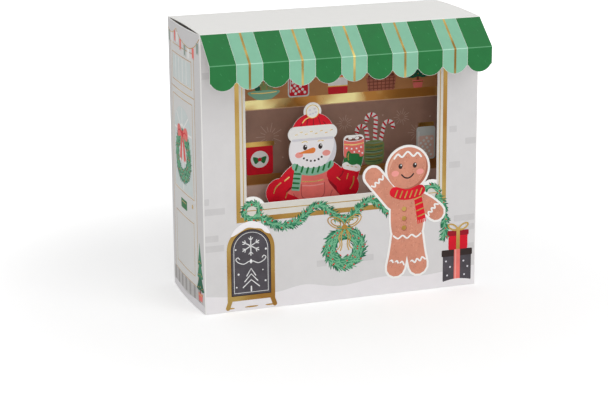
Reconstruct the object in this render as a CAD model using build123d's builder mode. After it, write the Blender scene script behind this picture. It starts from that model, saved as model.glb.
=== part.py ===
from build123d import *
from math import sqrt
import os

# A pop-up greeting card in the shape of a market stall, standing open.
# It is made of four sheets of printed board, each die-cut and folded from one piece:
# the walls, wrapped into an open tube; the roof with its awning; and, inside the tube,
# a layer with a vendor figure and a layer printed with shelves.
# Millimetres. +X is the viewer's right, the front faces -Y, +Z is up, and the origin
# lies under the middle of the card's box.

# Board and folds
BOARD = 0.4  # thickness of the sheets
GLUE_LINE = 0.05  # between two faces that are glued together
FOLD_RADIUS = 0.3  # inside a scored fold
DIE_CUT_BORDER = 1.3  # white margin that the die leaves round a printed figure

# Walls
WALL_HEIGHT = 158.0
STALL_WIDTH = 164.0  # outside, fold to fold
STALL_DEPTH = 65.0  # outside, front to back
SIDE_BOW = 1.5  # how far the side walls bulge at mid depth
LAP_WIDTH = 14.0  # lap that closes the tube, glued inside the back wall
LAP_END_GAP = 3.0  # from the lap to the bottom edge and to the roof's flap

# Window in the front wall
WINDOW_WIDTH = 114.0
WINDOW_SILL = 61.5
WINDOW_HEADER = 20.0  # wall above the window
WINDOW_CORNER = 0.6

# Garland bunches that rise over the lower corners of the window
BUNCH_RADIUS = 7.0
BUNCH_BELOW_SILL = 4.0  # centre of a bunch
BUNCH_INSET = 3.0  # centre of a bunch from the side of the window

# Gingerbread figure on the front wall, whose head and raised arm rise into the window
GINGER_X = 39.0
GINGER_HEAD_Z = 73.5
GINGER_HEAD_RADIUS = 12.5
GINGER_ARM_WIDTH = 10.0
GINGER_HAND_OUT = 21.0  # middle of the raised hand from the figure's middle
GINGER_HAND_Z = 71.0
GINGER_SHOULDER_OUT = 8.0
GINGER_SHOULDER_Z = 55.0

# Roof and awning
ROOF_BOW = 0.8  # how far the roof springs up between its two folds
ROOF_LIP = 0.3  # roof's front fold ahead of the front wall
ROOF_FLAP = 12.0  # flap glued inside the back wall
ROOF_FLAP_INSET = 4.0  # flap's ends from the ends of the roof
AWNING_REACH = 18.0  # face of the valance ahead of the front wall
AWNING_DROP = 14.3  # from the roof's fold to the valance's fold
VALANCE_DROP = 13.9  # from the valance's fold to the lowest point of a scallop
SCALLOP_COUNT = 11
SCALLOP_DEPTH = 5.4  # if the notches between the scallops were sharp
SCALLOP_NOTCH_RADIUS = 0.9

# Folded tabs that glue the two inner layers to the side walls
TAB_WIDTH = 11.0
TAB_TAPER = 4.0  # corner cut off each end of a tab

# Layer printed with shelves
SHELF_SETBACK = 41.0  # its face behind the face of the front wall
SHELF_BOTTOM = 30.0
SHELF_TOP = 150.0

# Layer with the vendor, a snowman, on a strip that the sill hides
VENDOR_SETBACK = 20.0
VENDOR_BOTTOM = 24.0
VENDOR_STRIP_TOP = 52.0
SNOWMAN_X = -11.0
SNOWMAN_BODY_Z = 56.0
SNOWMAN_BODY_RADIUS = 22.5
SNOWMAN_ELBOW_OUT = 20.0
SNOWMAN_ELBOW_Z = 61.0
SNOWMAN_ELBOW_RADIUS = 7.0
SNOWMAN_SLEEVE_WIDTH = 9.0
SNOWMAN_HAND_OUT = 25.0  # raised hand from the snowman's middle
SNOWMAN_HAND_Z = 77.0
MUG_WIDTH = 10.0
MUG_HEIGHT = 11.0
MUG_ABOVE_HAND = 7.0  # middle of the mug
SNOWMAN_HEAD_Z = 84.0
SNOWMAN_HEAD_RADIUS = 13.0
HAT_CUFF_Z = 94.0  # middle of the turned-up cuff
HAT_CUFF_WIDTH = 27.0
HAT_CUFF_HEIGHT = 6.5
HAT_CROWN_WIDTH = 23.0
HAT_CROWN_HEIGHT = 10.5  # above the middle of the cuff
POMPOM_RADIUS = 4.0

# Places worked out from the sizes above
half_width = STALL_WIDTH / 2
window_head = WALL_HEIGHT - WINDOW_HEADER
front_y = (AWNING_REACH - STALL_DEPTH) / 2
back_y = front_y + STALL_DEPTH
middle_y = (front_y + back_y) / 2
outer_fold_radius = FOLD_RADIUS + BOARD
side_radius = (STALL_DEPTH**2 / 4 + SIDE_BOW**2) / (2 * SIDE_BOW)
side_centre_x = half_width + SIDE_BOW - side_radius
front_plane = Plane.XZ.offset(-front_y)
glued_inset = BOARD + GLUE_LINE


def side_face_x(y, inset):
    """Distance from the middle to a face of the bowed side wall, inset from its outside."""
    return side_centre_x + sqrt((side_radius - inset) ** 2 - (y - middle_y) ** 2)


# Walls: one strip wrapped round the tube, from the free edge of the back wall to the glued lap
lap_y = back_y - glued_inset
lap_end_x = -side_face_x(lap_y, 0) + LAP_WIDTH
lap_fold_x = -side_face_x(lap_y, 0) + outer_fold_radius
lap_top = WALL_HEIGHT - ROOF_FLAP - LAP_END_GAP


def wall_face(inset):
    """Draws one face of the wrapped strip and returns its two ends and its folds."""
    back = back_y - inset
    front = front_y + inset
    lap = lap_y - inset
    bulge_x = half_width + SIDE_BOW - inset
    back_line = Line((-half_width, back), (side_face_x(back, inset), back))
    front_right = (side_face_x(front, inset), front)
    right_line = ThreePointArc(back_line @ 1, (bulge_x, middle_y), front_right)
    front_line = Line(front_right, (-side_face_x(front, inset), front))
    lap_corner = (-side_face_x(lap, inset), lap)
    left_line = ThreePointArc(front_line @ 1, (-bulge_x, middle_y), lap_corner)
    lap_line = Line(lap_corner, (lap_end_x, lap))
    folds = [line @ 1 for line in (back_line, right_line, front_line, left_line)]
    return back_line @ 0, lap_line @ 1, folds


with BuildPart() as stall_walls:
    with BuildSketch() as wall_section:
        with BuildLine() as wall_outline:
            outer_start, outer_end, outer_folds = wall_face(0)
            inner_start, inner_end, inner_folds = wall_face(BOARD)
            Line(outer_start, inner_start)
            Line(outer_end, inner_end)
            for radius, folds in ((outer_fold_radius, outer_folds), (FOLD_RADIUS, inner_folds)):
                for fold in folds:
                    fillet(wall_outline.vertices().sort_by_distance(fold)[0], radius)
        make_face()
    extrude(amount=WALL_HEIGHT)
    # The lap is trimmed above the bottom edge and below the roof's flap, with slanted ends
    with BuildSketch(Plane.XZ.offset(-lap_y)) as lap_ends:
        for fold_z, slant_z, edge_z in (
            (LAP_END_GAP, LAP_END_GAP + TAB_TAPER, 0),
            (lap_top, lap_top - TAB_TAPER, WALL_HEIGHT),
        ):
            with BuildLine():
                Polyline(
                    (lap_fold_x, fold_z),
                    (lap_end_x, slant_z),
                    (lap_end_x, edge_z),
                    (lap_fold_x, edge_z),
                    close=True,
                )
            make_face()
    extrude(amount=BOARD, mode=Mode.SUBTRACT)
    # The window, less what the die leaves standing in it
    with BuildSketch(front_plane) as window:
        with Locations((0, (WINDOW_SILL + window_head) / 2)):
            RectangleRounded(WINDOW_WIDTH, window_head - WINDOW_SILL, WINDOW_CORNER)
        bunch_x = WINDOW_WIDTH / 2 - BUNCH_INSET
        bunch_z = WINDOW_SILL - BUNCH_BELOW_SILL
        with Locations((-bunch_x, bunch_z), (bunch_x, bunch_z)):
            Circle(BUNCH_RADIUS + DIE_CUT_BORDER, mode=Mode.SUBTRACT)
        with Locations((GINGER_X, GINGER_HEAD_Z)):
            Circle(GINGER_HEAD_RADIUS + DIE_CUT_BORDER, mode=Mode.SUBTRACT)
        shoulder = Vector(GINGER_X - GINGER_SHOULDER_OUT, GINGER_SHOULDER_Z)
        hand = Vector(GINGER_X - GINGER_HAND_OUT, GINGER_HAND_Z)
        SlotCenterPoint(
            (shoulder + hand) / 2,
            hand,
            GINGER_ARM_WIDTH + 2 * DIE_CUT_BORDER,
            mode=Mode.SUBTRACT,
        )
    extrude(amount=2 * BOARD, both=True, mode=Mode.SUBTRACT)

# Roof and awning: glue flap, bowed roof, slope and valance folded from one strip
roof_z = WALL_HEIGHT + BOARD
roof_front_y = front_y - ROOF_LIP
valance_y = front_y - AWNING_REACH
valance_fold_z = roof_z - AWNING_DROP
valance_low_z = valance_fold_z - VALANCE_DROP
flap_low_z = WALL_HEIGHT - ROOF_FLAP
flap_end_x = half_width - ROOF_FLAP_INSET
scallop_pitch = STALL_WIDTH / SCALLOP_COUNT
scallop_radius = (scallop_pitch**2 / 4 + SCALLOP_DEPTH**2) / (2 * SCALLOP_DEPTH)
with BuildPart() as roof_awning:
    with BuildSketch(Plane.YZ) as roof_section:
        with BuildLine() as roof_face:
            flap_line = Line((lap_y, flap_low_z), (lap_y, roof_z))
            roof_line = ThreePointArc(
                flap_line @ 1,
                ((lap_y + roof_front_y) / 2, roof_z + ROOF_BOW),
                (roof_front_y, roof_z),
            )
            slope_line = Line(roof_line @ 1, (valance_y, valance_fold_z))
            Line(slope_line @ 1, (valance_y, valance_low_z))
            for fold in (flap_line @ 1, roof_line @ 1, slope_line @ 1):
                fillet(roof_face.vertices().sort_by_distance(fold)[0], outer_fold_radius)
            offset(amount=BOARD, side=Side.LEFT)
        make_face()
    extrude(amount=half_width, both=True)
    # Slanted ends of the glue flap
    with BuildSketch(Plane.XZ.offset(-lap_y)) as flap_ends:
        with BuildLine():
            Polyline(
                (flap_end_x, WALL_HEIGHT),
                (flap_end_x - TAB_TAPER, flap_low_z),
                (half_width, flap_low_z),
                (half_width, WALL_HEIGHT),
                close=True,
            )
        make_face()
        mirror(about=Plane.YZ)
    extrude(amount=outer_fold_radius, mode=Mode.SUBTRACT)
    # Scalloped edge of the valance
    with BuildSketch(Plane.XZ.offset(-valance_y)) as scallops:
        with Locations((0, valance_low_z)):
            Rectangle(STALL_WIDTH + scallop_pitch, 2 * scallop_radius)
        with Locations((0, valance_low_z + scallop_radius)):
            with GridLocations(scallop_pitch, 0, SCALLOP_COUNT + 2, 1):
                Circle(scallop_radius, mode=Mode.SUBTRACT)
        notch_z = valance_low_z + SCALLOP_DEPTH
        notches = scallops.vertices().filter_by_position(Axis.Y, notch_z - BOARD, notch_z + BOARD)
        fillet(notches, SCALLOP_NOTCH_RADIUS)
    extrude(amount=2 * BOARD, both=True, mode=Mode.SUBTRACT)


def layer_sheet(face_y, bottom, top):
    """A panel across the tube, facing the window, with a glue tab folded back at each end."""
    tab_middle_y = face_y + TAB_WIDTH / 2
    tab_end_y = face_y + TAB_WIDTH
    fold_x = side_face_x(face_y, glued_inset)
    tab_middle_x = side_face_x(tab_middle_y, glued_inset)
    tab_end_x = side_face_x(tab_end_y, glued_inset)
    with BuildPart() as sheet:
        with BuildSketch(Plane.XY.offset(bottom)):
            with BuildLine() as layer_face:
                left_tab = ThreePointArc(
                    (-tab_end_x, tab_end_y), (-tab_middle_x, tab_middle_y), (-fold_x, face_y)
                )
                panel_line = Line(left_tab @ 1, (fold_x, face_y))
                ThreePointArc(
                    panel_line @ 1, (tab_middle_x, tab_middle_y), (tab_end_x, tab_end_y)
                )
                for fold in (panel_line @ 0, panel_line @ 1):
                    fillet(layer_face.vertices().sort_by_distance(fold)[0], outer_fold_radius)
                offset(amount=BOARD, side=Side.LEFT)
            make_face()
        extrude(amount=top - bottom)
        tab_ends = sheet.faces().sort_by(Axis.Y)[-2:]
        tab_corners = tab_ends.edges().filter_by(Axis.Z, reverse=True)
        chamfer(tab_corners, TAB_TAPER)
    return sheet.part


# Shelf layer: a plain panel behind the window
with BuildPart() as shelf_panel:
    add(layer_sheet(front_y + SHELF_SETBACK, SHELF_BOTTOM, SHELF_TOP))

# Vendor layer: the snowman, one hand raised with a mug, rises from a strip that the sill hides
vendor_y = front_y + VENDOR_SETBACK
crown_top_z = HAT_CUFF_Z + HAT_CROWN_HEIGHT
with BuildPart() as vendor_panel:
    add(layer_sheet(vendor_y, VENDOR_BOTTOM, VENDOR_STRIP_TOP))
    with BuildSketch(Plane.XZ.offset(-vendor_y)) as snowman:
        with Locations((SNOWMAN_X, SNOWMAN_BODY_Z)):
            Circle(SNOWMAN_BODY_RADIUS + DIE_CUT_BORDER)
        with Locations((SNOWMAN_X, SNOWMAN_ELBOW_Z)):
            with GridLocations(2 * SNOWMAN_ELBOW_OUT, 0, 2, 1):
                Circle(SNOWMAN_ELBOW_RADIUS + DIE_CUT_BORDER)
        elbow = Vector(SNOWMAN_X + SNOWMAN_ELBOW_OUT, SNOWMAN_ELBOW_Z)
        raised_hand = Vector(SNOWMAN_X + SNOWMAN_HAND_OUT, SNOWMAN_HAND_Z)
        SlotCenterPoint(
            (elbow + raised_hand) / 2,
            raised_hand,
            SNOWMAN_SLEEVE_WIDTH + 2 * DIE_CUT_BORDER,
        )
        with Locations((raised_hand.X, SNOWMAN_HAND_Z + MUG_ABOVE_HAND)):
            RectangleRounded(
                MUG_WIDTH + 2 * DIE_CUT_BORDER,
                MUG_HEIGHT + 2 * DIE_CUT_BORDER,
                2 * DIE_CUT_BORDER,
            )
        with Locations((SNOWMAN_X, SNOWMAN_HEAD_Z)):
            Circle(SNOWMAN_HEAD_RADIUS + DIE_CUT_BORDER)
        with Locations((SNOWMAN_X, HAT_CUFF_Z)):
            SlotOverall(HAT_CUFF_WIDTH + 2 * DIE_CUT_BORDER, HAT_CUFF_HEIGHT + 2 * DIE_CUT_BORDER)
            Ellipse(HAT_CROWN_WIDTH / 2 + DIE_CUT_BORDER, HAT_CROWN_HEIGHT + DIE_CUT_BORDER)
        with Locations((SNOWMAN_X, crown_top_z + POMPOM_RADIUS / 2)):
            Circle(POMPOM_RADIUS + DIE_CUT_BORDER)
    extrude(amount=-BOARD)

os.makedirs("parts", exist_ok=True)
for name, sheet in (
    ("stall_walls", stall_walls),
    ("roof_awning", roof_awning),
    ("shelf_panel", shelf_panel),
    ("vendor_panel", vendor_panel),
):
    sheet.part.label = name
    export_step(sheet.part, f"parts/{name}.step")
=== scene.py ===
# %% [markdown]
# # A pop-up greeting card that stands open as a winter market stall
# The card is four sheets of thin board: walls, roof with awning, a shelf layer and a vendor layer.
# The sheets are ready in the frame, at their real size and in their real place, so nothing is fitted here.
# What is missing is the print. A picture on the sheets would be the quick way, but ink and foil are films
# that lie on the board, with edges that stay sharp close up and a shine of their own. So every printed shape
# below is a thin closed film, drawn flat in millimetres and laid on its face.

# %% Load the packed card
import math
from collections import namedtuple

import bmesh
import bpy
from mathutils import Matrix, Vector
from mathutils.geometry import tessellate_polygon


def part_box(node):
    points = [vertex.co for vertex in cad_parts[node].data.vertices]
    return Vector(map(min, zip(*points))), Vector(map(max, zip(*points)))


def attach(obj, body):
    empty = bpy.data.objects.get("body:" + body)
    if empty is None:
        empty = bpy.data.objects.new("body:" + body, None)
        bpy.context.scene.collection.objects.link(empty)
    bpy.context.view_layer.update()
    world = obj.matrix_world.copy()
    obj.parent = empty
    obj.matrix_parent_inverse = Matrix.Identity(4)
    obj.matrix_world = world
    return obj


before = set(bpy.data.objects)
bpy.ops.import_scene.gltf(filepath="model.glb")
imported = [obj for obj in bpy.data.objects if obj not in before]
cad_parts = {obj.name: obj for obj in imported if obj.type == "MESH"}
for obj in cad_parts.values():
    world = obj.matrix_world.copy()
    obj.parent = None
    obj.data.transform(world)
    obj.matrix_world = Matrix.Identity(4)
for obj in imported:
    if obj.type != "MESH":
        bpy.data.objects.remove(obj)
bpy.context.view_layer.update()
scene = bpy.context.scene
MM = 0.001
walls_low, walls_high = (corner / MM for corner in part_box("stall_walls"))
awning_low, awning_high = (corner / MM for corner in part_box("roof_awning"))
shelf_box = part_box("shelf_panel")
shelf_y = shelf_box[0].y / MM
vendor_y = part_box("vendor_panel")[0].y / MM
front_y = walls_low.y
back_y = walls_high.y
wall_height = walls_high.z
half_width = awning_high.x
lengths = (half_width, front_y, back_y, wall_height, shelf_y, vendor_y)
print("card in mm:", [round(length, 1) for length in lengths])

# %% [markdown]
# ## Inks and foil
# Coated card stock has a soft sheen, a fine tooth and print that is never quite even. A flat colour would
# look like plastic, so one node group adds brushy mottling, a roughness that wanders and a height for the
# tooth, and every ink places it with its own colour. Gold foil is a real metal film that mirrors what is
# around it, so it has its own group with a slow wave in place of the mottling. The wave also paints glint
# and dark patches into the foil's colour, a painted reflection on top of the real one.
# The groups and the trees further down are made of a few kinds of node, so helpers for those come first.

# %% A helper for nodes
class Nodes:
    """Short ways to add nodes to a tree."""

    def __init__(self, tree):
        self.tree = tree

    def link(self, value, socket):
        """Links an output to a socket, or sets the socket to a plain value."""
        if isinstance(value, bpy.types.NodeSocket):
            self.tree.links.new(value, socket)
        else:
            socket.default_value = value

    def add(self, kind, inputs=(), **settings):
        """Adds a node, sets its properties and its inputs, by label or number, and returns its outputs."""
        node = self.tree.nodes.new(kind)
        for key, value in settings.items():
            setattr(node, key, value)
        for key, value in dict(inputs).items():
            self.link(value, node.inputs[key])
        return node.outputs

    def math(self, operation, first, second=0.0):
        return self.add("ShaderNodeMath", {0: first, 1: second}, operation=operation)[0]

    def vector(self, x=0.0, y=0.0, z=0.0):
        return self.add("ShaderNodeCombineXYZ", {"X": x, "Y": y, "Z": z})["Vector"]

    def ramp(self, value, start, stop, low, high, **settings):
        """Maps values from start to stop to the range from low to high."""
        ends = {"Value": value, "From Min": start, "From Max": stop, "To Min": low, "To Max": high}
        return self.add("ShaderNodeMapRange", ends, **settings)["Result"]


print("helper:", Nodes.__doc__)

# %% A helper for node groups
COLOR = "NodeSocketColor"
FLOAT = "NodeSocketFloat"
SOCKET_TYPES = {tuple: COLOR, float: FLOAT, int: "NodeSocketInt"}


class Group(Nodes):
    """A node group. What an input starts as, a value or the name of a socket type, says what it takes."""

    def __init__(self, kind, name, inputs, outputs):
        super().__init__(bpy.data.node_groups.new(name, kind))
        for label, start in inputs.items():
            socket_type = SOCKET_TYPES.get(type(start), start)
            socket = self.tree.interface.new_socket(label, in_out="INPUT", socket_type=socket_type)
            if socket_type != start:
                socket.default_value = start
        for label, socket_type in outputs.items():
            self.tree.interface.new_socket(label, in_out="OUTPUT", socket_type=socket_type)
        self.given = self.tree.nodes.new("NodeGroupInput").outputs
        self.result = self.tree.nodes.new("NodeGroupOutput").inputs

    def give(self, **values):
        """Links the group's outputs and returns its tree."""
        for label, value in values.items():
            self.link(value, self.result[label])
        return self.tree


print("helper:", Group.__doc__)

# %% Shader groups
BRUSH_SCALE = 150.0  # noise cells per metre
TOOTH_SCALE = 1900.0
NOISE_RANGE = (0.3, 0.7)  # where most values of a noise lie
INK_ROUGHNESS = (0.44, 0.58)
FOIL_ROUGHNESS = (0.32, 0.2)
LOOK = {"Color": COLOR, "Roughness": FLOAT, "Height": FLOAT}


def printed_board_group():
    """Mottled ink on toothy board."""
    group = Group("ShaderNodeTree", "printed board", {"Ink": (1, 1, 1, 1), "Mottle": 0.06}, LOOK)
    mottle = group.given["Mottle"]
    place = group.add("ShaderNodeTexCoord")["Object"]
    brushwork = {"Vector": place, "Scale": BRUSH_SCALE, "Detail": 5.0, "Roughness": 0.6}
    brush = group.add("ShaderNodeTexNoise", brushwork)["Fac"]
    tooth = group.add("ShaderNodeTexNoise", {"Vector": place, "Scale": TOOTH_SCALE, "Detail": 2.0})["Fac"]
    darker = group.math("SUBTRACT", 1.0, mottle)
    lighter = group.math("ADD", 1.0, mottle)
    shade = group.ramp(brush, *NOISE_RANGE, darker, lighter)
    tinted = group.add("ShaderNodeVectorMath", {0: group.given["Ink"], "Scale": shade}, operation="SCALE")
    rough = group.ramp(brush, *NOISE_RANGE, *INK_ROUGHNESS)
    return group.give(Color=tinted["Vector"], Roughness=rough, Height=tooth)


def foil_group():
    """Hot-stamped foil on board, with glint and dark patches of painted reflection in its colour."""
    inputs = {"Bright": (1, 1, 1, 1), "Dim": (0.5, 0.5, 0.5, 1)}
    inputs.update({"Patches": 60.0, "Softness": 0.2, "Slide": 0.0})
    group = Group("ShaderNodeTree", "stamped foil", inputs, LOOK)
    given = group.given
    place = group.add("ShaderNodeTexCoord")["Object"]
    slid = group.add("ShaderNodeVectorMath", {0: place, 1: group.vector(given["Slide"])}, operation="ADD")
    waves = {"Vector": slid["Vector"], "Scale": given["Patches"], "Detail": 2.0}
    ripple_and_painted_glints = group.add("ShaderNodeTexNoise", waves)["Fac"]
    low = group.math("SUBTRACT", 0.5, given["Softness"])
    high = group.math("ADD", 0.5, given["Softness"])
    # Painted reflection: the noise blends a glint colour and a dark colour into the foil's base colour.
    colours = {0: group.ramp(ripple_and_painted_glints, low, high, 0.0, 1.0), 6: given["Dim"], 7: given["Bright"]}
    painted_glint_colour = group.add("ShaderNodeMix", colours, data_type="RGBA")[2]
    rough = group.ramp(ripple_and_painted_glints, *NOISE_RANGE, *FOIL_ROUGHNESS)
    return group.give(Color=painted_glint_colour, Roughness=rough, Height=ripple_and_painted_glints)


PRINTED_BOARD = printed_board_group()
STAMPED_FOIL = foil_group()
print("shader groups:", PRINTED_BOARD.name, "and", STAMPED_FOIL.name)

# %% Materials from the groups
BARE_BUMP = (0.18, 0.06)  # strength, and height in mm
INK_BUMP = (0.12, 0.05)
FOIL_BUMP = (0.25, 0.25)
INK_SHINE = 0.25


def linear(level):
    """One sRGB level from 0 to 255 as a linear value."""
    share = level / 255
    return share / 12.92 if share <= 0.04045 else ((share + 0.055) / 1.055) ** 2.4


def tint(colour):
    return (*(linear(level) for level in colour), 1)


def surface(name, group, values, bump, shine):
    """A Principled material fed by one of the groups above."""
    material = bpy.data.materials.new(name)
    material.use_nodes = True
    nodes = Nodes(material.node_tree)
    look = nodes.add("ShaderNodeGroup", values, node_tree=group)
    relief = {"Height": look["Height"], "Strength": bump[0], "Distance": bump[1] * MM}
    inputs = {"Base Color": look["Color"], "Roughness": look["Roughness"], **shine}
    inputs["Normal"] = nodes.add("ShaderNodeBump", relief)["Normal"]
    shader = material.node_tree.nodes["Principled BSDF"]
    for label, value in inputs.items():
        nodes.link(value, shader.inputs[label])
    return material


def ink(name, colour, mottle):
    """Printed ink, less shiny than bare coated board."""
    values = {"Ink": tint(colour), "Mottle": mottle}
    return surface("ink_" + name, PRINTED_BOARD, values, INK_BUMP, {"Specular IOR Level": INK_SHINE})


def foil(name, painted_glint, painted_dark, patches, softness=0.2, metal=1.0, slide=0.0):
    """Stamped foil, printed over with a clear tint where it is less than all metal."""
    # The two colours are the glint and the dark patches of the foil's painted reflection.
    values = {"Bright": tint(painted_glint), "Dim": tint(painted_dark), "Patches": patches}
    values.update({"Softness": softness, "Slide": slide})
    return surface("foil_" + name, STAMPED_FOIL, values, FOIL_BUMP, {"Metallic": metal})


print("relief in mm: board", BARE_BUMP[1], "ink", INK_BUMP[1], "foil", FOIL_BUMP[1])

# %% Bare board and foils
BOARD = surface("bare_board", PRINTED_BOARD, {"Ink": tint((241, 240, 237)), "Mottle": 0.015}, BARE_BUMP, {})
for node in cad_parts.values():
    node.data.materials.clear()
    node.data.materials.append(BOARD)
# Each foil's two colours are painted reflection, a glint and a dark patch, set for its place to stand in for
# what the foil there mirrors and how it is lit. The slide of the shelf foil moves its painted glints along
# the shelf.
GOLD = foil("gold", (222, 186, 108), (180, 134, 62), 60.0)
BRIGHT_GOLD = foil("bright_gold", (252, 228, 142), (226, 184, 98), 120.0, 0.2, 0.7)
FRAME_FOIL = foil("frame", (206, 174, 102), (174, 128, 64), 30.0, 0.15)
AWNING_FOIL = foil("awning", (228, 206, 130), (150, 116, 58), 42.0, 0.12)
SHELF_FOIL = foil("shelf", (255, 240, 168), (190, 130, 58), 40.0, 0.1, 0.6, 1.088)
LOW_SHELF_FOIL = foil("low_shelf", (238, 180, 110), (186, 126, 66), 20.0, 0.15, 0.55)
print("board and foils:", len(bpy.data.materials))

# %% Inks
WALL = ink("wall", (214, 212, 212), 0.02)
BRICK = ink("brick", (203, 201, 201), 0.03)
SNOW = ink("snow", (240, 237, 239), 0.015)
DRIFT = ink("drift", (231, 228, 230), 0.015)
SNOW_SHADE = ink("snow_shade", (216, 214, 221), 0.03)
WHITE = ink("white", (240, 239, 236), 0.015)
CREAM = ink("cream", (212, 208, 199), 0.03)
DARK_GREEN = ink("dark_green", (34, 115, 59), 0.07)
GREEN_FLECK = ink("green_fleck", (58, 140, 84), 0.1)
GREEN_CREASE = ink("green_crease", (92, 160, 112), 0.1)
MINT = ink("mint", (134, 190, 161), 0.04)
MINT_CREASE = ink("mint_crease", (176, 220, 198), 0.06)
NEEDLE_DARK = ink("needle_dark", (22, 94, 66), 0.12)
NEEDLE_MID = ink("needle_mid", (50, 130, 92), 0.12)
NEEDLE_LIGHT = ink("needle_light", (112, 178, 138), 0.12)
RED = ink("red", (212, 6, 36), 0.15)
DEEP_RED = ink("deep_red", (150, 8, 30), 0.1)
CORAL = ink("coral", (232, 116, 108), 0.1)
PALE_CORAL = ink("pale_coral", (238, 156, 148), 0.06)
DEEP_CORAL = ink("deep_coral", (186, 80, 78), 0.06)
TAN = ink("tan", (208, 140, 116), 0.1)
TAN_FLECK = ink("tan_fleck", (194, 122, 98), 0.1)
PALE_TAN = ink("pale_tan", (224, 166, 142), 0.06)
DEEP_TAN = ink("deep_tan", (174, 104, 82), 0.1)
CHARCOAL = ink("charcoal", (76, 72, 78), 0.2)
CHALK = ink("chalk", (226, 226, 226), 0.12)
DARK = ink("dark", (48, 36, 34), 0.1)
ORANGE = ink("orange", (232, 132, 62), 0.08)
COCOA = ink("cocoa", (156, 121, 105), 0.08)
PALE_COCOA = ink("pale_cocoa", (232, 198, 184), 0.06)
WARM_COCOA = ink("warm_cocoa", (184, 128, 80), 0.06)
SHELF_LINE = ink("shelf_line", (214, 172, 136), 0.06)
COCOA_SPARK = ink("cocoa_spark", (188, 158, 142), 0.05)
CHESTNUT = ink("chestnut", (116, 58, 42), 0.2)
OLIVE = ink("olive", (128, 152, 92), 0.14)
OLIVE_GREY = ink("olive_grey", (146, 160, 150), 0.08)
DOOR = ink("door", (221, 220, 218), 0.015)
GLASS_BLUE = ink("glass_blue", (211, 219, 217), 0.05)
STONE_LIGHT = ink("stone_light", (196, 194, 192), 0.05)
STONE_DARK = ink("stone_dark", (164, 160, 158), 0.06)
print("materials:", len(bpy.data.materials))

# %% [markdown] ## A kit for drawing on board The motifs are fields of flat colour with round outlines.
# Curve objects could be filled and extruded, but one motif would then be dozens of objects. Here an
# outline is a plain list of points, so it can be moved, mirrored or cut before it is a mesh. Films in
# higher levels lie on lower ones. A motif is drawn round its own middle, and its side can be set to -1 to
# draw the mirror image.

# %% Curves in millimetres
CURVE_STEPS = 6
ROUND_STEPS = 36


def catmull(a, b, c, d, t):
    """One point of the smooth curve from b to c."""
    return tuple(
        0.5 * (2 * q + (r - p) * t + (2 * p - 5 * q + 4 * r - s) * t**2 + (3 * q - p - 3 * r + s) * t**3)
        for p, q, r, s in zip(a, b, c, d)
    )


def smooth_spans(ends):
    """The smooth curve from the second point up to the last but one, which is left out."""
    spans = range(len(ends) - 3)
    return [catmull(*ends[i : i + 4], k / CURVE_STEPS) for i in spans for k in range(CURVE_STEPS)]


def smooth_path(points):
    """An open line that runs smoothly through the points."""
    return smooth_spans([points[0], *points, points[-1]]) + [points[-1]]


def smooth_loop(points):
    """A closed outline that runs smoothly through the points."""
    return smooth_spans([points[-1], *points, *points[:2]])


def polar(middle, reach, angle):
    """The point at a distance and an angle, in degrees, from another."""
    turn = math.radians(angle)
    return middle[0] + reach * math.cos(turn), middle[1] + reach * math.sin(turn)


def arc(u, v, radius_u, radius_v, start, stop, steps, turn=0.0):
    """Points of an elliptic arc, angles in degrees."""
    points = []
    lean_cos = math.cos(math.radians(turn))
    lean_sin = math.sin(math.radians(turn))
    for k in range(steps + 1):
        angle = math.radians(start + (stop - start) * k / steps)
        x = radius_u * math.cos(angle)
        y = radius_v * math.sin(angle)
        points.append((u + x * lean_cos - y * lean_sin, v + x * lean_sin + y * lean_cos))
    return points


def ellipse(u, v, radius_u, radius_v=None, turn=0.0):
    return arc(u, v, radius_u, radius_v or radius_u, 0, 360, ROUND_STEPS, turn)[:-1]


print("a disc has", len(ellipse(0, 0, 1)), "corners")

# %% Boxes, strokes and shades
def box(u0, v0, u1, v1, corner=0.0):
    """A rectangle, with round corners if a radius is given."""
    if not corner:
        return [(u0, v0), (u1, v0), (u1, v1), (u0, v1)]
    points = []
    for k, (u, v) in enumerate(box(u0 + corner, v0 + corner, u1 - corner, v1 - corner)):
        points += arc(u, v, corner, corner, 90 * k - 180, 90 * k - 90, CURVE_STEPS)
    return points


def across(half, low, high, corner=0.0):
    """A rectangle that reaches as far to both sides of the middle."""
    return box(-half, low, half, high, corner)


def mirrored(half):
    """A line or an outline with like sides, from its right half, which may start in the middle."""
    return [(-u, v) for u, v in half[::-1] if u] + half


def stroke(points, width, smooth=True):
    """The outline of a brush stroke with round ends along a line."""
    line = smooth_path(points) if smooth and len(points) > 2 else points
    left = []
    right = []
    last = len(line) - 1
    for i, (u, v) in enumerate(line):
        before = line[max(i - 1, 0)]
        after = line[min(i + 1, last)]
        along = Vector((after[0] - before[0], after[1] - before[1])).normalized() * (width / 2)
        left.append((u - along.y, v + along.x))
        right.append((u + along.y, v - along.x))
    caps = []
    for (u, v), (side_u, side_v) in ((line[-1], right[-1]), (line[0], left[0])):
        start = math.degrees(math.atan2(side_v - v, side_u - u))
        caps.append(arc(u, v, width / 2, width / 2, start, start + 180, CURVE_STEPS)[1:-1])
    return right + caps[0] + left[::-1] + caps[1]


def crescent(u, v, radius, depth, start, stop):
    """A shade along the rim of a disc, thickest in its middle."""
    steps = 2 * CURVE_STEPS
    inner = []
    for k in range(1, steps):
        shrunk = radius - depth * math.sin(math.pi * k / steps)
        inner.append(polar((u, v), shrunk, start + (stop - start) * k / steps))
    return arc(u, v, radius, radius, start, stop, steps) + inner[::-1]


def area(outline):
    """Signed area: positive if the outline runs anticlockwise."""
    return sum(a[0] * b[1] - b[0] * a[1] for a, b in zip(outline, outline[1:] + outline[:1])) / 2


print("a stroke of three points has", len(stroke([(0, 0), (1, 2), (3, 2)], 1)), "corners")

# %% Lay films on a face
Face = namedtuple("Face", "slot place cuts_u cuts_v", defaults=((), ()))


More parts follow.
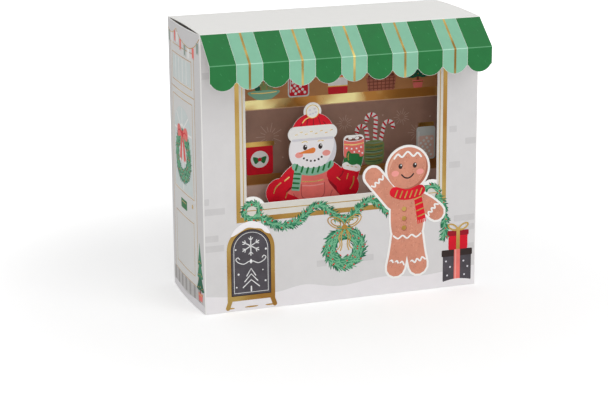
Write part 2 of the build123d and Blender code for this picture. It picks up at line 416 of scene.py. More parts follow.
def lay(flat, face):
    """Lays a flat mesh on a face of the card, cut first where the face bends, and makes it a piece."""
    films = bmesh.new()
    films.from_mesh(flat)
    for cuts, across_cut in ((face.cuts_u, Vector((1, 0, 0))), (face.cuts_v, Vector((0, 1, 0)))):
        for place in cuts:
            everything = [*films.verts, *films.edges, *films.faces]
            plane = {"plane_co": across_cut * place, "plane_no": across_cut}
            bmesh.ops.bisect_plane(films, geom=everything, dist=1e-5, **plane)
    for corner in films.verts:
        corner.co = Vector(face.place(*corner.co)) * MM
    films.to_mesh(flat)
    films.free()
    piece = bpy.data.objects.new(flat.name, flat)
    scene.collection.objects.link(piece)
    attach(piece, "root")
    print("laid", piece.name, len(flat.polygons), "faces")


print("a face has a", ", ".join(Face._fields))

# %% Motifs made of films
FILM_STEP = 0.01  # height of one level
FILM_SINK = -0.005  # the underside lies just in the board


class Motif:
    """Flat films in millimetres that make up one printed piece."""

    def __init__(self, name, u=0.0, v=0.0):
        self.name = name
        self.middle = (u, v)
        self.side = 1
        self.films = bmesh.new()
        self.inks = []

    def at(self, u, v):
        """Moves the middle that the next films are drawn round."""
        self.middle = (u, v)
        return self

    def placed(self, points):
        """Points of the motif in their place on the face."""
        return [(self.middle[0] + self.side * u, self.middle[1] + v) for u, v in points]

    def film(self, material, level, outline, holes=()):
        """Adds one closed film with the given outline."""
        if material not in self.inks:
            self.inks.append(material)
        loops = []
        for line, direction in [(outline, 1), *((hole, -1) for hole in holes)]:
            loop = self.placed(line)
            loops.append(loop if area(loop) * direction > 0 else loop[::-1])
        corners = [corner for loop in loops for corner in loop]
        low = [self.films.verts.new((u, v, FILM_SINK)) for u, v in corners]
        high = [self.films.verts.new((u, v, FILM_STEP * (level + 1))) for u, v in corners]
        faces = []
        for triangle in tessellate_polygon([[Vector((u, v, 0)) for u, v in loop] for loop in loops]):
            if area([corners[i] for i in triangle]) < 0:
                triangle = triangle[::-1]
            faces.append(self.films.faces.new([high[i] for i in triangle]))
            faces.append(self.films.faces.new([low[i] for i in triangle[::-1]]))
        start = 0
        for loop in loops:
            for k in range(len(loop)):
                i = start + k
                j = start + (k + 1) % len(loop)
                faces.append(self.films.faces.new((low[i], low[j], high[j], high[i])))
            start += len(loop)
        for face in faces:
            face.material_index = self.inks.index(material)

    def line(self, material, level, width, *points, smooth=True):
        """A brush stroke."""
        self.film(material, level, stroke(points, width, smooth))

    def loop(self, material, level, *points):
        """A field with a smooth outline."""
        self.film(material, level, smooth_loop(points))

    def disc(self, material, level, u, v, radius_u, radius_v=None):
        self.film(material, level, ellipse(u, v, radius_u, radius_v))

    def dots(self, material, level, radius_u, radius_v, *places):
        for u, v in places:
            self.disc(material, level, u, v, radius_u, radius_v)

    def block(self, material, level, u0, v0, u1, v1, corner=0.0):
        self.film(material, level, box(u0, v0, u1, v1, corner))

    def band(self, material, level, half, low, high, corner=0.0):
        """A rectangle across the motif's middle."""
        self.film(material, level, across(half, low, high, corner))

    def mesh(self):
        """The films as a flat mesh in millimetres."""
        flat = bpy.data.meshes.new(self.name)
        self.films.to_mesh(flat)
        self.films.free()
        for material in self.inks:
            flat.materials.append(material)
        return flat

    def lay(self, face):
        lay(self.mesh(), face)


print("a film at level 0 is", FILM_STEP - FILM_SINK, "mm thick")

# %% [markdown]
# ## The faces of the card
# Each face has its own flat coordinates: u to the right and v up as a viewer in front of it sees them, and h
# out of the board. The side walls bow outward, so u is bent round their arc. The awning is drawn as the flat
# sheet it was printed on, with v counted down from the roof's fold, and folded over the valance's edge.
# A modifier could bend the films, but the folds are known exactly, so a formula for each face is truer.

# %% Walls and layers
SIDE_BOW = walls_high.x - half_width
BOW_CUT = 2.5  # spacing of the cuts that let a film follow the bow
depth = back_y - front_y
middle_y = (front_y + back_y) / 2
bow_radius = (depth**2 / 4 + SIDE_BOW**2) / (2 * SIDE_BOW)
bow_cuts = [BOW_CUT * k for k in range(1, int(depth / BOW_CUT) + 1)]


def bowed_x(y):
    return half_width + SIDE_BOW - bow_radius + math.sqrt(bow_radius**2 - (y - middle_y) ** 2)


FRONT = Face("wall_card", lambda u, v, h: (u, front_y - h, v))
LEFT = Face("wall_card", lambda u, v, h: (-bowed_x(back_y - u) - h, back_y - u, v), bow_cuts)
RIGHT = Face("wall_card", lambda u, v, h: (bowed_x(front_y + u) + h, front_y + u, v), bow_cuts)
BACK = Face("wall_card", lambda u, v, h: (-u, back_y + h, v))
SHELF = Face("shelf_card", lambda u, v, h: (u, shelf_y - h, v))
VENDOR = Face("vendor_card", lambda u, v, h: (u, vendor_y - h, v))
print("sides bow out by", round(SIDE_BOW, 2), "mm")

# %% Awning sheet
BOARD_THICKNESS = 0.4
ROOF_LIP = 0.3
FOLD_ROUND = 0.7
AWNING_DROP = 14.3
VALANCE_DROP = 13.9
FOLD_STEPS = 4
roof_fold = Vector((front_y - ROOF_LIP, wall_height + BOARD_THICKNESS))
valance_fold = Vector((awning_low.y, wall_height + BOARD_THICKNESS - AWNING_DROP))
slope_along = (valance_fold - roof_fold).normalized()
slope_out = Vector((slope_along.y, -slope_along.x))
fold_turn = math.acos(-slope_along.y)
fold_tangent = FOLD_ROUND * math.tan(fold_turn / 2)
fold_start = (valance_fold - roof_fold).length - fold_tangent
fold_stop = fold_start + FOLD_ROUND * fold_turn
fold_centre = roof_fold + slope_along * fold_start - slope_out * FOLD_ROUND
valance_end = fold_stop + VALANCE_DROP - fold_tangent


def awning_place(u, v, h):
    """The outside of the awning sheet, v counted down from the roof's fold along the sheet."""
    along = -v
    if along <= fold_start:
        place = roof_fold + slope_along * along + slope_out * h
    elif along <= fold_stop:
        turn = (along - fold_start) / FOLD_ROUND
        place = fold_centre + Matrix.Rotation(turn, 2) @ slope_out * (FOLD_ROUND + h)
    else:
        place = Vector((valance_fold.x - h, fold_centre.y - (along - fold_stop)))
    return u, place.x, place.y


fold_cuts = [-(fold_start + (fold_stop - fold_start) * k / FOLD_STEPS) for k in range(FOLD_STEPS + 1)]
AWNING = Face("awning_card", awning_place, cuts_v=fold_cuts)
print("awning sheet from fold to lowest scallop:", round(valance_end, 2), "mm")

# %% [markdown]
# ## Repeats with Geometry Nodes
# Stripes, bricks, needles, flecks and bulbs repeat, so each kind has a small node tree with named sizes and
# a fixed seed. A tree that follows a line starts from a mesh of edges, turned into a curve inside the tree.
# Copies are realised and given their ink in the tree, because an export drops instances, and the result is
# kept as a plain flat mesh that can be laid on a face like any other film.

# %% A helper for trees that grow copies
GEOMETRY = "NodeSocketGeometry"
MATERIAL = "NodeSocketMaterial"
OBJECT = "NodeSocketObject"


class Grower(Group):
    """A tree of geometry nodes that makes something of the mesh it is given."""

    def __init__(self, name, inputs):
        super().__init__("GeometryNodeTree", name, {"Geometry": GEOMETRY, **inputs}, {"Geometry": GEOMETRY})

    def shape(self, kind, inputs):
        return self.add("GeometryNode" + kind, inputs)[0]

    def times(self, first, second):
        return self.math("MULTIPLY", first, second)

    def plus(self, first, second):
        return self.math("ADD", first, second)

    def random(self, low, high, seed):
        """A random number for each point. The node's sockets for plain numbers are found by their place."""
        return self.add("FunctionNodeRandomValue", {2: low, 3: high, 8: seed}, data_type="FLOAT")[1]

    def copies(self, points, instance, ink=None, **more):
        """Realised copies of a mesh on points, in one ink if it is given."""
        links = {"Points": points, "Instance": instance, **more}
        real = self.shape("RealizeInstances", {"Geometry": self.shape("InstanceOnPoints", links)})
        return self.shape("SetMaterial", {"Geometry": real, "Material": ink}) if ink else real

    def path_points(self, spacing):
        """Points along the given line of edges, with the angle of the line at each."""
        curve = self.shape("MeshToCurve", {"Mesh": self.given["Geometry"]})
        made = self.add("GeometryNodeCurveToPoints", {"Curve": curve, "Length": spacing}, mode="LENGTH")
        split = self.add("ShaderNodeSeparateXYZ", {"Vector": made["Tangent"]})
        return made["Points"], self.math("ARCTAN2", split["Y"], split["X"])


def grown(name, start, tree, values):
    """Runs a tree on a starting mesh and returns the result as a plain flat mesh."""
    carrier = bpy.data.objects.new(name + "_carrier", start)
    scene.collection.objects.link(carrier)
    modifier = carrier.modifiers.new(tree.name, "NODES")
    modifier.node_group = tree
    for item in tree.interface.items_tree:
        if item.in_out == "INPUT" and item.name in values:
            modifier[item.identifier] = values[item.name]
    graph = bpy.context.evaluated_depsgraph_get()
    flat = bpy.data.meshes.new_from_object(carrier.evaluated_get(graph), depsgraph=graph)
    flat.name = name
    carrier.modifiers.remove(modifier)
    bpy.data.objects.remove(carrier)
    return flat


print("a tree grows from", GEOMETRY)

# %% [markdown]
# ### Rows
# The awning's stripes, the stones of the plinth and the bars over the door repeat at an even pitch. An Array
# modifier would do, but a tree shows count and pitch as named inputs. Copies keep the inks of their motif.

# %% A row of copies
def row_tree():
    """Copies of the given mesh in a row."""
    tree = Grower("row of copies", {"Count": 3, "Pitch": 10.0})
    line = {"Count": tree.given["Count"], "Offset": tree.vector(tree.given["Pitch"])}
    return tree.give(Geometry=tree.copies(tree.shape("MeshLine", line), tree.given["Geometry"]))


ROW = row_tree()


def row(name, face, motif, count, spacing):
    lay(grown(name, motif.mesh(), ROW, {"Count": count, "Pitch": spacing}), face)


print("tree:", ROW.name)

# %% [markdown]
# ### Copies along a line
# The stripes of a candy cane turn with the cane, and bulbs hang straight down wherever their wire slopes.
# Placing them by hand would take a list of angles. The tree reads the line's tangent and turns each copy.

# %% Copies along lines
def along_tree():
    """Copies of another object's mesh along a line, turned with the line unless they hang upright."""
    tree = Grower("copies along a line", {"Copy": OBJECT, "Spacing": 4.0, "Upright": 0.0, "Ink": MATERIAL})
    points, angle = tree.path_points(tree.given["Spacing"])
    turned = tree.times(angle, tree.math("SUBTRACT", 1.0, tree.given["Upright"]))
    copy = tree.add("GeometryNodeObjectInfo", {"Object": tree.given["Copy"]})["Geometry"]
    copies = tree.copies(points, copy, tree.given["Ink"], Rotation=tree.vector(0.0, 0.0, turned))
    return tree.give(Geometry=copies)


ALONG = along_tree()


def line_mesh(name, lines):
    """Edges along one or more lines of points, closed where the last point is the first."""
    mesh = bpy.data.meshes.new(name)
    corners = []
    edges = []
    for line in lines:
        start = len(corners)
        closed = line[0] == line[-1]
        points = line[:-1] if closed else line
        corners += [(u, v, 0) for u, v in points]
        edges += [(start + k, start + k + 1) for k in range(len(points) - 1)]
        if closed:
            edges.append((start + len(points) - 1, start))
    mesh.from_pydata(corners, edges, [])
    return mesh


def along(name, face, lines, copy, spacing, material, upright=0.0):
    """Copies of a flat motif along lines."""
    holder = bpy.data.objects.new(name + "_copy", copy.mesh())
    scene.collection.objects.link(holder)
    values = {"Copy": holder, "Spacing": spacing, "Ink": material, "Upright": upright}
    flat = grown(name, line_mesh(name + "_line", lines), ALONG, values)
    bpy.data.objects.remove(holder)
    lay(flat, face)


print("tree:", ALONG.name)

# %% [markdown]
# ### Evergreen sprigs
# Painted greenery is many short strokes in a few greens, dark below and pale on top. Drawing each one would
# take thousands of lines, so needles grow from a line at random angles and lengths, in three layers, with
# berries beside it. Each needle has a height of its own, because two films in one plane would flicker.

# %% Evergreen sprigs
NEEDLES = {"Dark": 1.0, "Mid": 1.5, "Light": 3.4}  # how far apart the needles of each ink are
NEEDLE_SHARE = (0.65, 1.15)  # of the length asked for
NEEDLE_LIFT = 0.9  # of a level, so that no two needles lie in one plane
BERRY_SEED = 40
GREENERY = {"Dark": NEEDLE_DARK, "Mid": NEEDLE_MID, "Light": NEEDLE_LIGHT, "Berry": RED}
GREENERY_RISE = 7 * FILM_STEP


def sprig_tree():
    """Evergreen needles in three inks, and berries, along a line."""
    inputs = {"Spacing": 0.5, "Length": 4.0, "Width": 0.7, "Splay": 1.0, "Rise": 0.2, "Seed": 1}
    inputs.update({"Berry Spacing": 6.0, "Berry Radius": 0.6, "Berry Drift": 2.0})
    tree = Grower("evergreen sprigs", {**inputs, **dict.fromkeys(GREENERY, MATERIAL)})
    given = tree.given
    joined = tree.tree.nodes.new("GeometryNodeJoinGeometry")
    stub = tree.shape("MeshCylinder", {"Vertices": 6, "Radius": 0.5, "Depth": 1.0})
    leaf = tree.shape("Transform", {"Geometry": stub, "Translation": tree.vector(0.5, 0.0, 0.5)})
    for layer, (shade, sparse) in enumerate(NEEDLES.items()):
        seed = tree.plus(given["Seed"], 10.0 * layer)
        points, angle = tree.path_points(tree.times(given["Spacing"], sparse))
        lean = tree.random(tree.times(given["Splay"], -1.0), given["Splay"], seed)
        turn = tree.vector(0.0, 0.0, tree.plus(angle, lean))
        long = tree.times(given["Length"], tree.random(*NEEDLE_SHARE, tree.plus(seed, 1.0)))
        lift = tree.plus(given["Rise"], FILM_STEP * layer)
        drift = tree.random(0.0, NEEDLE_LIFT * FILM_STEP, tree.plus(seed, 2.0))
        size = tree.vector(long, given["Width"], tree.plus(lift, drift))
        needles = tree.copies(points, leaf, given[shade], Rotation=turn, Scale=size)
        tree.link(needles, joined.inputs["Geometry"])
    points, angle = tree.path_points(given["Berry Spacing"])
    drift_low = tree.times(given["Berry Drift"], -1.0)
    aside = [tree.random(drift_low, given["Berry Drift"], BERRY_SEED + k) for k in range(2)]
    moved = tree.shape("SetPosition", {"Geometry": points, "Offset": tree.vector(*aside)})
    tall = tree.times(tree.plus(given["Rise"], 4 * FILM_STEP), 2.0)
    berry = tree.shape("MeshCylinder", {"Vertices": 10, "Radius": given["Berry Radius"], "Depth": tall})
    tree.link(tree.copies(moved, berry, given["Berry"]), joined.inputs["Geometry"])
    return tree.give(Geometry=joined.outputs["Geometry"])


SPRIGS = sprig_tree()


def evergreen(name, face, lines, values):
    settings = {"Rise": GREENERY_RISE, **GREENERY, **values}
    lay(grown(name, line_mesh(name + "_line", lines), SPRIGS, settings), face)


def ring(u, v, radius):
    """A closed round line."""
    points = ellipse(u, v, radius)
    return points + points[:1]


print("tree:", SPRIGS.name)

# %% [markdown]
# ### Bricks
# On a whitewashed wall only a few bricks show, in courses shifted by half a brick. A brick texture can't
# leave most of its bricks out, so the tree makes the bond as a grid of points and picks a few at random.

# %% Bricks
BRICK_SIZES = {"Brick": 13.5, "Course": 5.8, "Rise": 1.5 * FILM_STEP}
BRICK_FACE = (0.9, 0.64)  # share of its place in the bond that a brick fills
BRICK_SHARE = (0.7, 1.0)  # of that length that shows


def brick_tree():
    """A few bricks of a running bond, picked at random over a rectangle of wall."""
    inputs = {"Width": 100.0, "Height": 100.0, "Brick": 13.0, "Course": 6.5, "Share": 0.12, "Rise": 0.04}
    tree = Grower("brick courses", {**inputs, "Seed": 1, "Ink": MATERIAL})
    given = tree.given
    grid = {}
    sides = {"X": (given["Width"], given["Brick"]), "Y": (given["Height"], given["Course"])}
    for axis, (length, unit) in sides.items():
        count = tree.math("FLOOR", tree.math("DIVIDE", length, unit))
        grid["Vertices " + axis] = count
        grid["Size " + axis] = tree.times(tree.math("SUBTRACT", count, 1.0), unit)
    position = tree.add("GeometryNodeInputPosition")[0]
    height = tree.add("ShaderNodeSeparateXYZ", {"Vector": position})["Y"]
    course = tree.math("ROUND", tree.math("DIVIDE", height, given["Course"]))
    odd = tree.math("SUBTRACT", tree.math("PINGPONG", course, 1.0), 0.5)
    bond = tree.vector(tree.times(odd, tree.math("DIVIDE", given["Brick"], 2.0)), 0.0, given["Rise"])
    points = tree.shape("SetPosition", {"Geometry": tree.shape("MeshGrid", grid), "Offset": bond})
    dice = {"A": tree.random(0.0, 1.0, given["Seed"]), "B": given["Share"]}
    chosen = tree.add("FunctionNodeCompare", dice, operation="LESS_THAN")["Result"]
    long, high = (tree.times(given[unit], share) for unit, share in zip(("Brick", "Course"), BRICK_FACE))
    size = tree.vector(long, high, FILM_STEP)
    brick = tree.shape("MeshCube", {"Size": size})
    length = tree.vector(tree.random(*BRICK_SHARE, tree.plus(given["Seed"], 5.0)), 1.0, 1.0)
    return tree.give(Geometry=tree.copies(points, brick, given["Ink"], Selection=chosen, Scale=length))


BRICKS = brick_tree()


def brick_patch(name, face, u0, v0, u1, v1, share, seed):
    values = {"Width": u1 - u0, "Height": v1 - v0, "Share": share, "Seed": seed, "Ink": BRICK, **BRICK_SIZES}
    flat = grown(name, bpy.data.meshes.new(name + "_start"), BRICKS, values)
    flat.transform(Matrix.Translation(((u0 + u1) / 2, (v0 + v1) / 2, 0)))
    lay(flat, face)


print("tree:", BRICKS.name)

# %% [markdown]
# ### Brush flecks
# Baked dough is speckled. A noise texture would give soft blots, while a painted card has short brush marks,
# so the tree scatters small dabs over a shape, each of its own size and turned at random.

# %% Brush flecks
FLECK_SHARE = (0.5, 1.0)  # of the size asked for


def fleck_tree():
    """Short brush flecks scattered over a flat mesh."""
    sizes = {"Density": 0.2, "Length": 1.0, "Width": 0.4, "Height": 0.1, "Seed": 1}
    tree = Grower("brush flecks", {**sizes, "Ink": MATERIAL})
    given = tree.given
    ground = {"Mesh": given["Geometry"], "Density": given["Density"], "Seed": given["Seed"]}
    spots = tree.shape("DistributePointsOnFaces", ground)
    dab = tree.shape("MeshCylinder", {"Vertices": 8, "Radius": 0.5, "Depth": 1.0})
    turn = tree.vector(0.0, 0.0, tree.random(0.0, math.pi, given["Seed"]))
    share = tree.random(*FLECK_SHARE, tree.plus(given["Seed"], 3.0))
    wide = tree.times(given["Width"], share)
    size = tree.vector(tree.times(given["Length"], share), wide, tree.times(given["Height"], 2.0))
    return tree.give(Geometry=tree.copies(spots, dab, given["Ink"], Rotation=turn, Scale=size))


FLECKS = fleck_tree()


def flecked(name, face, outlines, level, values):
    """Flecks of ink over one or more areas."""
    ground = bpy.data.meshes.new(name + "_ground")
    corners = []
    faces = []
    for outline in outlines:
        start = len(corners)
        corners += [(u, v, 0) for u, v in outline]
        triangles = tessellate_polygon([[Vector((u, v, 0)) for u, v in outline]])
        faces += [[start + i for i in triangle] for triangle in triangles]
    ground.from_pydata(corners, [], faces)
    lay(grown(name, ground, FLECKS, {"Height": FILM_STEP * (level + 1), **values}), face)


print("tree:", FLECKS.name)

# %% [markdown]
# ## The awning
# The awning is one sheet in broad stripes, dark at both ends, with a foil line down the middle of each pale
# stripe. A stripe is drawn once, down to the round end of its scallop, and a row of copies makes the rest.
# Printed board cracks a little where it is scored, so a pale crease runs along the valance's fold; it also
# stands in as a painted highlight on the round of the fold.

# %% Outlines of a stripe and of a foil line
SCALLOPS = 11
SCALLOP_DEPTH = 5.4
SCALLOP_STEPS = 20
NOTCH_RADIUS = 0.9
STRIPE_GAP = 0.14  # board that shows between two stripes
FOLD_BARE = 0.55  # board that shows at the roof's fold
EDGE_BARE = 0.12  # board that shows along a cut edge
FOIL_LINE = 1.3
pitch = 2 * half_width / SCALLOPS
scallop_radius = (pitch**2 / 4 + SCALLOP_DEPTH**2) / (2 * SCALLOP_DEPTH)
notch_drop = math.sqrt((scallop_radius + NOTCH_RADIUS) ** 2 - pitch**2 / 4)
notch_lean = math.degrees(math.atan2(notch_drop, pitch / 2))
scallop_v = -valance_end + scallop_radius
scallop_print = scallop_radius - EDGE_BARE
notch_print = NOTCH_RADIUS + EDGE_BARE


def to_scallop(half, reach, steps):
    """The part of a scallop within an angle of its lowest point, and the corners at the roof's fold."""
    scallop = arc(0, scallop_v, scallop_print, scallop_print, 270 - reach, 270 + reach, steps)
    return scallop, [(half, -FOLD_BARE), (-half, -FOLD_BARE)]


def stripe_outline():
    """One stripe of the awning sheet, with half of the notches beside it."""
    scallop, top = to_scallop(pitch / 2 - STRIPE_GAP / 2, 90 - notch_lean, SCALLOP_STEPS)
    gap_angle = math.degrees(math.asin(STRIPE_GAP / 2 / notch_print))
    notch_v = scallop_v - notch_drop
    right = arc(pitch / 2, notch_v, notch_print, notch_print, 180 - notch_lean, 90 + gap_angle, CURVE_STEPS)
    return scallop + right + top + [(-u, v) for u, v in right[::-1]]


def line_outline():
    """A line down the middle of a stripe."""
    reach = math.degrees(math.asin(FOIL_LINE / 2 / scallop_print))
    scallop, top = to_scallop(FOIL_LINE / 2, reach, CURVE_STEPS)
    return scallop + top


print("stripes of", round(pitch, 2), "mm")

# %% Awning stripes
CREASE_WIDTH = 0.55
PALE_STRIPES = SCALLOPS // 2
first = -half_width + pitch / 2
fold_middle = -(fold_start + fold_stop) / 2
# The pale crease is part cracked ink and part painted highlight of the fold.
crease = across(pitch / 2 - STRIPE_GAP, fold_middle - CREASE_WIDTH / 2, fold_middle + CREASE_WIDTH / 2)
dark_stripe = Motif("dark_stripe", first)
pale_stripe = Motif("pale_stripe", first + pitch)
for stripe, field, crack_and_highlight in ((dark_stripe, DARK_GREEN, GREEN_CREASE), (pale_stripe, MINT, MINT_CREASE)):
    stripe.film(field, 0, stripe_outline())
    stripe.film(crack_and_highlight, 1, crease)
for lean, top in ((-3.6, -5.0), (2.4, -10.0), (4.6, -4.0), (-1.4, -27.0), (3.1, -30.5)):
    dark_stripe.line(GREEN_FLECK, 1, 0.25, (lean, top), (lean + 0.5, top - 1.0))
gold_line = Motif("gold_line", first + pitch)
gold_line.film(AWNING_FOIL, 2, line_outline())
row("awning_dark_stripes", AWNING, dark_stripe, PALE_STRIPES + 1, 2 * pitch)
row("awning_pale_stripes", AWNING, pale_stripe, PALE_STRIPES, 2 * pitch)
row("awning_foil_lines", AWNING, gold_line, PALE_STRIPES, 2 * pitch)

# %% [markdown]
# ## The front wall
# The wall is a soft grey field. Snow lies along the ground, a pale window frame with foil lines goes round
# the opening, and a few bricks show through as if the rest were whitewashed. The frame could be four strips,
# but an outline with a hole has no seams at its corners. The bricks in sight are placed one by one.

# %% Wall, snow and window frame
EDGE = 0.5  # board that shows along the folds of the walls
GROUND = 0.2  # where print starts above the cut edge
BRICK_HIGH = 3.7
wall_edge = half_width - EDGE
wall_top = wall_height - 0.3
frame_outside = across(63.0, 51.3, 145.0)
frame_inside = across(60.5, 54.2, 142.4)


def snow_field(points):
    """A drift from one end of a wall to the other."""
    return [(points[0][0], GROUND), (points[-1][0], GROUND)] + smooth_path(points)[::-1]


wall_print = Motif("front_wall_print")
wall_print.film(WALL, 0, across(wall_edge, GROUND, wall_top), [frame_outside])
wall_print.film(FRAME_FOIL, 1, frame_outside, [frame_inside])
wall_print.film(FRAME_FOIL, 1, across(58.95, 57.45, 140.4), [across(58.45, 57.95, 139.9)])
wall_print.film(CREAM, 0, frame_inside, [across(57.2, 61.3, 138.2)])
ridge = [(-wall_edge, 10.4), (-62, 8.4), (-40, 8.8), (-23, 11.4), (-2, 8.2), (24, 10.8), (46, 8.8), (64, 9.9)]
wall_print.film(DRIFT, 3, snow_field(ridge + [(wall_edge, 11.8)]))
wall_print.lay(FRONT)
front_bricks = Motif("front_bricks")
for u, v, length in (
    (-81.2, 133.6, 6.0),
    (-81.2, 63.0, 2.6),
    (-81.2, 57.2, 11.6),
    (-81.2, 41.8, 7.6),
    (-81.2, 36.0, 10.8),
    (64.6, 92.4, 4.6),
    (74.6, 84.8, 6.6),
    (64.6, 71.4, 7.0),
    (68.2, 39.2, 13.0),
    (68.2, 33.4, 5.2),
    (75.2, 33.4, 6.0),
    (69.6, 21.8, 11.6),
    (-16.0, 20.9, 6.0),
    (12.0, 21.4, 6.5),
):
    front_bricks.block(BRICK, 1, u, v, u + length, v + BRICK_HIGH, 0.3)
front_bricks.lay(FRONT)

# %% [markdown]
# ## Evergreens
# A garland is a line that everything grows from: needles lean off it to both sides in three greens, the
# palest on top, and berries sit here and there. The wreaths are the same tree on rings.

# %% Garland and wreath
WREATH_U = 0.8
WREATH_V = 30.3
swag = [(-50, 54.5), (-43, 49.5), (-35, 47), (-27, 49), (-20, 54.5), (-14.5, 57), (-9, 54), (-4, 49.5)]
swag += [(1, 47.6), (6.5, 50), (12, 55), (17, 57), (22.5, 54), (28, 48.5), (34, 47), (42, 49), (49, 54)]
tail = [(57, 56), (60.8, 51), (62.2, 44), (62.6, 37), (62.4, 31)]
garland_size = {"Spacing": 0.18, "Length": 3.9, "Width": 0.62, "Splay": 1.15, "Berry Spacing": 4.6}
garland_size.update({"Berry Radius": 0.46, "Berry Drift": 1.8, "Seed": 5})
evergreen("garland", FRONT, [smooth_path(swag), smooth_path(tail)], garland_size)
bunch_size = {**garland_size, "Length": 3.2, "Splay": 0.9, "Berry Spacing": 7.0, "Berry Drift": 1.2}
evergreen("garland_bunches", FRONT, [ring(u, 57.5, 4.4) for u in (-54.0, 54.0)], bunch_size)
wreath_rings = [ring(WREATH_U, WREATH_V, radius) for radius in (6.5, 8.2, 9.8, 11.2)]
wreath_size = {**garland_size, "Spacing": 0.33, "Length": 4.2, "Splay": 0.85, "Berry Spacing": 7.0, "Seed": 9}
evergreen("front_wreath", FRONT, wreath_rings, wreath_size)

# %% [markdown]
# ### Foil bow
# The bow is stamped over the greenery, in outline only. A filled bow with a lighter middle would hide the
# needles, so its loops are rings between two ellipses, and the mirror image makes the other side.

# %% Foil bow on the wreath
BOW_LEVEL = 14
RIBBON = 0.62
bow = Motif("wreath_bow", WREATH_U, WREATH_V + 12.6)
for bow.side in (-1, 1):
    for size in (1.0, 0.62):
        inner = ellipse(5.2, 2.9, 5.7 * size - RIBBON, 3.1 * size - RIBBON, 30)
        bow.film(GOLD, BOW_LEVEL, ellipse(5.2, 2.9, 5.7 * size, 3.1 * size, 30), [inner])
    for reach in (0.6, 1.0):
        streamer = [(0.4, -0.6), (3.4 * reach, -5.5), (2.7 * reach, -10.5), (4.2 * reach, -15.0 + 2 * reach)]
        bow.line(GOLD, BOW_LEVEL, RIBBON, *streamer)
bow.disc(GOLD, BOW_LEVEL + 1, 0, 0, 1.7, 1.3)
bow.lay(FRONT)

# %% [markdown]
# ## Chalkboard
# A board with a round top and two short legs stands under the window, framed in foil, with snow on its top.
# Chalk could be a texture, but strokes with round ends look drawn by hand, so a snowflake, a scroll and a fir
# are made of those, and the rough look of chalk comes from an ink that is strongly mottled.

# %% Chalkboard
BOARD_U = -55.0
BOARD_HALF = 14.0
ARCH_V = 35.5
FLAKE = (0, 37.5)
chalkboard = Motif("chalkboard", BOARD_U)


def arched(inset, low):
    """The board's outline, inset, with a round top."""
    half = BOARD_HALF - inset
    return [(-half, low), (half, low)] + arc(0, ARCH_V, half, half, 0, 180, 24)


for chalkboard.side in (-1, 1):
    chalkboard.line(FRAME_FOIL, 8, 2.6, (12.0, 7.5), (13.8, 2.2))
chalkboard.film(FRAME_FOIL, 9, arched(0, 6.0))
chalkboard.film(DARK, 10, arched(2.3, 8.8))
chalkboard.film(CHARCOAL, 11, arched(2.8, 9.3))
chalkboard.film(CHALK, 12, arched(3.9, 10.4), [arched(4.2, 10.7)])
print("board:", len(chalkboard.films.faces), "faces")

# %% Chalk drawing
for k in range(6):
    angle = 60 * k + 30
    root = polar(FLAKE, 3.3, angle)
    chalkboard.line(CHALK, 12 + k % 3, 0.6, FLAKE, polar(FLAKE, 5.4, angle))
    for bend in (-40, 40):
        chalkboard.line(CHALK, 15, 0.45, root, polar(root, 1.8, angle + bend))
for chalkboard.side in (-1, 1):
    scroll = [(1.4, 28.6), (4.2, 27.3), (7.2, 28.3), (8.8, 30.2), (7.6, 31.3), (6.6, 30.2)]
    chalkboard.line(CHALK, 12, 0.5, *scroll)
chalkboard.film(CHALK, 13, [(-1.1, 28.6), (0, 27.2), (1.1, 28.6), (0, 30.0)])
for half, low in ((4.8, 13.6), (3.8, 17.0), (2.6, 20.2)):
    chalkboard.line(CHALK, 12, 0.6, (-half, low), (0, low + 4.2), (half, low), smooth=False)
chalkboard.line(CHALK, 12, 0.8, (0, 11.2), (0, 13.8))
specks = [(-8.6, 14, 0.45), (-7.4, 21.5, 0.6), (8.4, 16.5, 0.55), (6.9, 23, 0.4)]
for speck in [*specks, (-8.9, 36, 0.5), (8.8, 35, 0.6)]:
    chalkboard.disc(CHALK, 12, *speck)
cap = [(-11.4, 43.8), (-9.2, 47.6), (-4.8, 50.6), (0, 51.9), (5, 50.5), (9.4, 47.4), (11.4, 43.8)]
cap += [(8.6, 44.6), (6.2, 46.9), (2.4, 47.6), (-1.6, 48.2), (-5.4, 46.4), (-8.4, 44.8)]
chalkboard.loop(SNOW, 13, *cap)
for u, half in ((-12.5, 2.6), (11.5, 3.4), (0, 4.0)):
    chalkboard.disc(GOLD, 6, u, 2.0, half, 0.45)
chalkboard.lay(FRONT)

# %% [markdown]
# ## Gingerbread figure
# The figure's head and hand rise into the window, where the die leaves a white margin round them, so the same
# margin goes round the rest of it. One outline round the whole figure would be hard to draw well. Limbs are
# broad strokes with round ends instead, the trunk is a smooth loop, and in one ink their joins don't show.

# %% Gingerbread figure
MARGIN = 1.3
HEAD_V = 73.5
HEAD_RADIUS = 12.5
TRUNK_MIDDLE = (0, 46)
TRUNK_REACH = 12.0  # from there to the outline, about
ginger = Motif("gingerbread_figure", 39.0)
limbs = [([(-8, 55), (-21, 71)], 10.0), ([(6, 55), (13, 50.5), (18, 46)], 9.4)]
limbs += [([(side * 3.8, 34), (side * 5.4, 23), (side * 7, 15.5)], 11.0) for side in (-1, 1)]
trunk = [(-9.2, 58), (-10.2, 48), (-9.4, 37), (-6, 30), (0, 28.6), (6, 30), (9.4, 37), (10.2, 48), (9.2, 58)]
trunk += [(5, 63), (-5, 63)]


def grown_trunk(growth):
    """The trunk's outline, grown away from its middle by about so much."""
    share = growth / TRUNK_REACH
    middle_u, middle_v = TRUNK_MIDDLE
    return [(u + share * (u - middle_u), v + share * (v - middle_v)) for u, v in trunk]


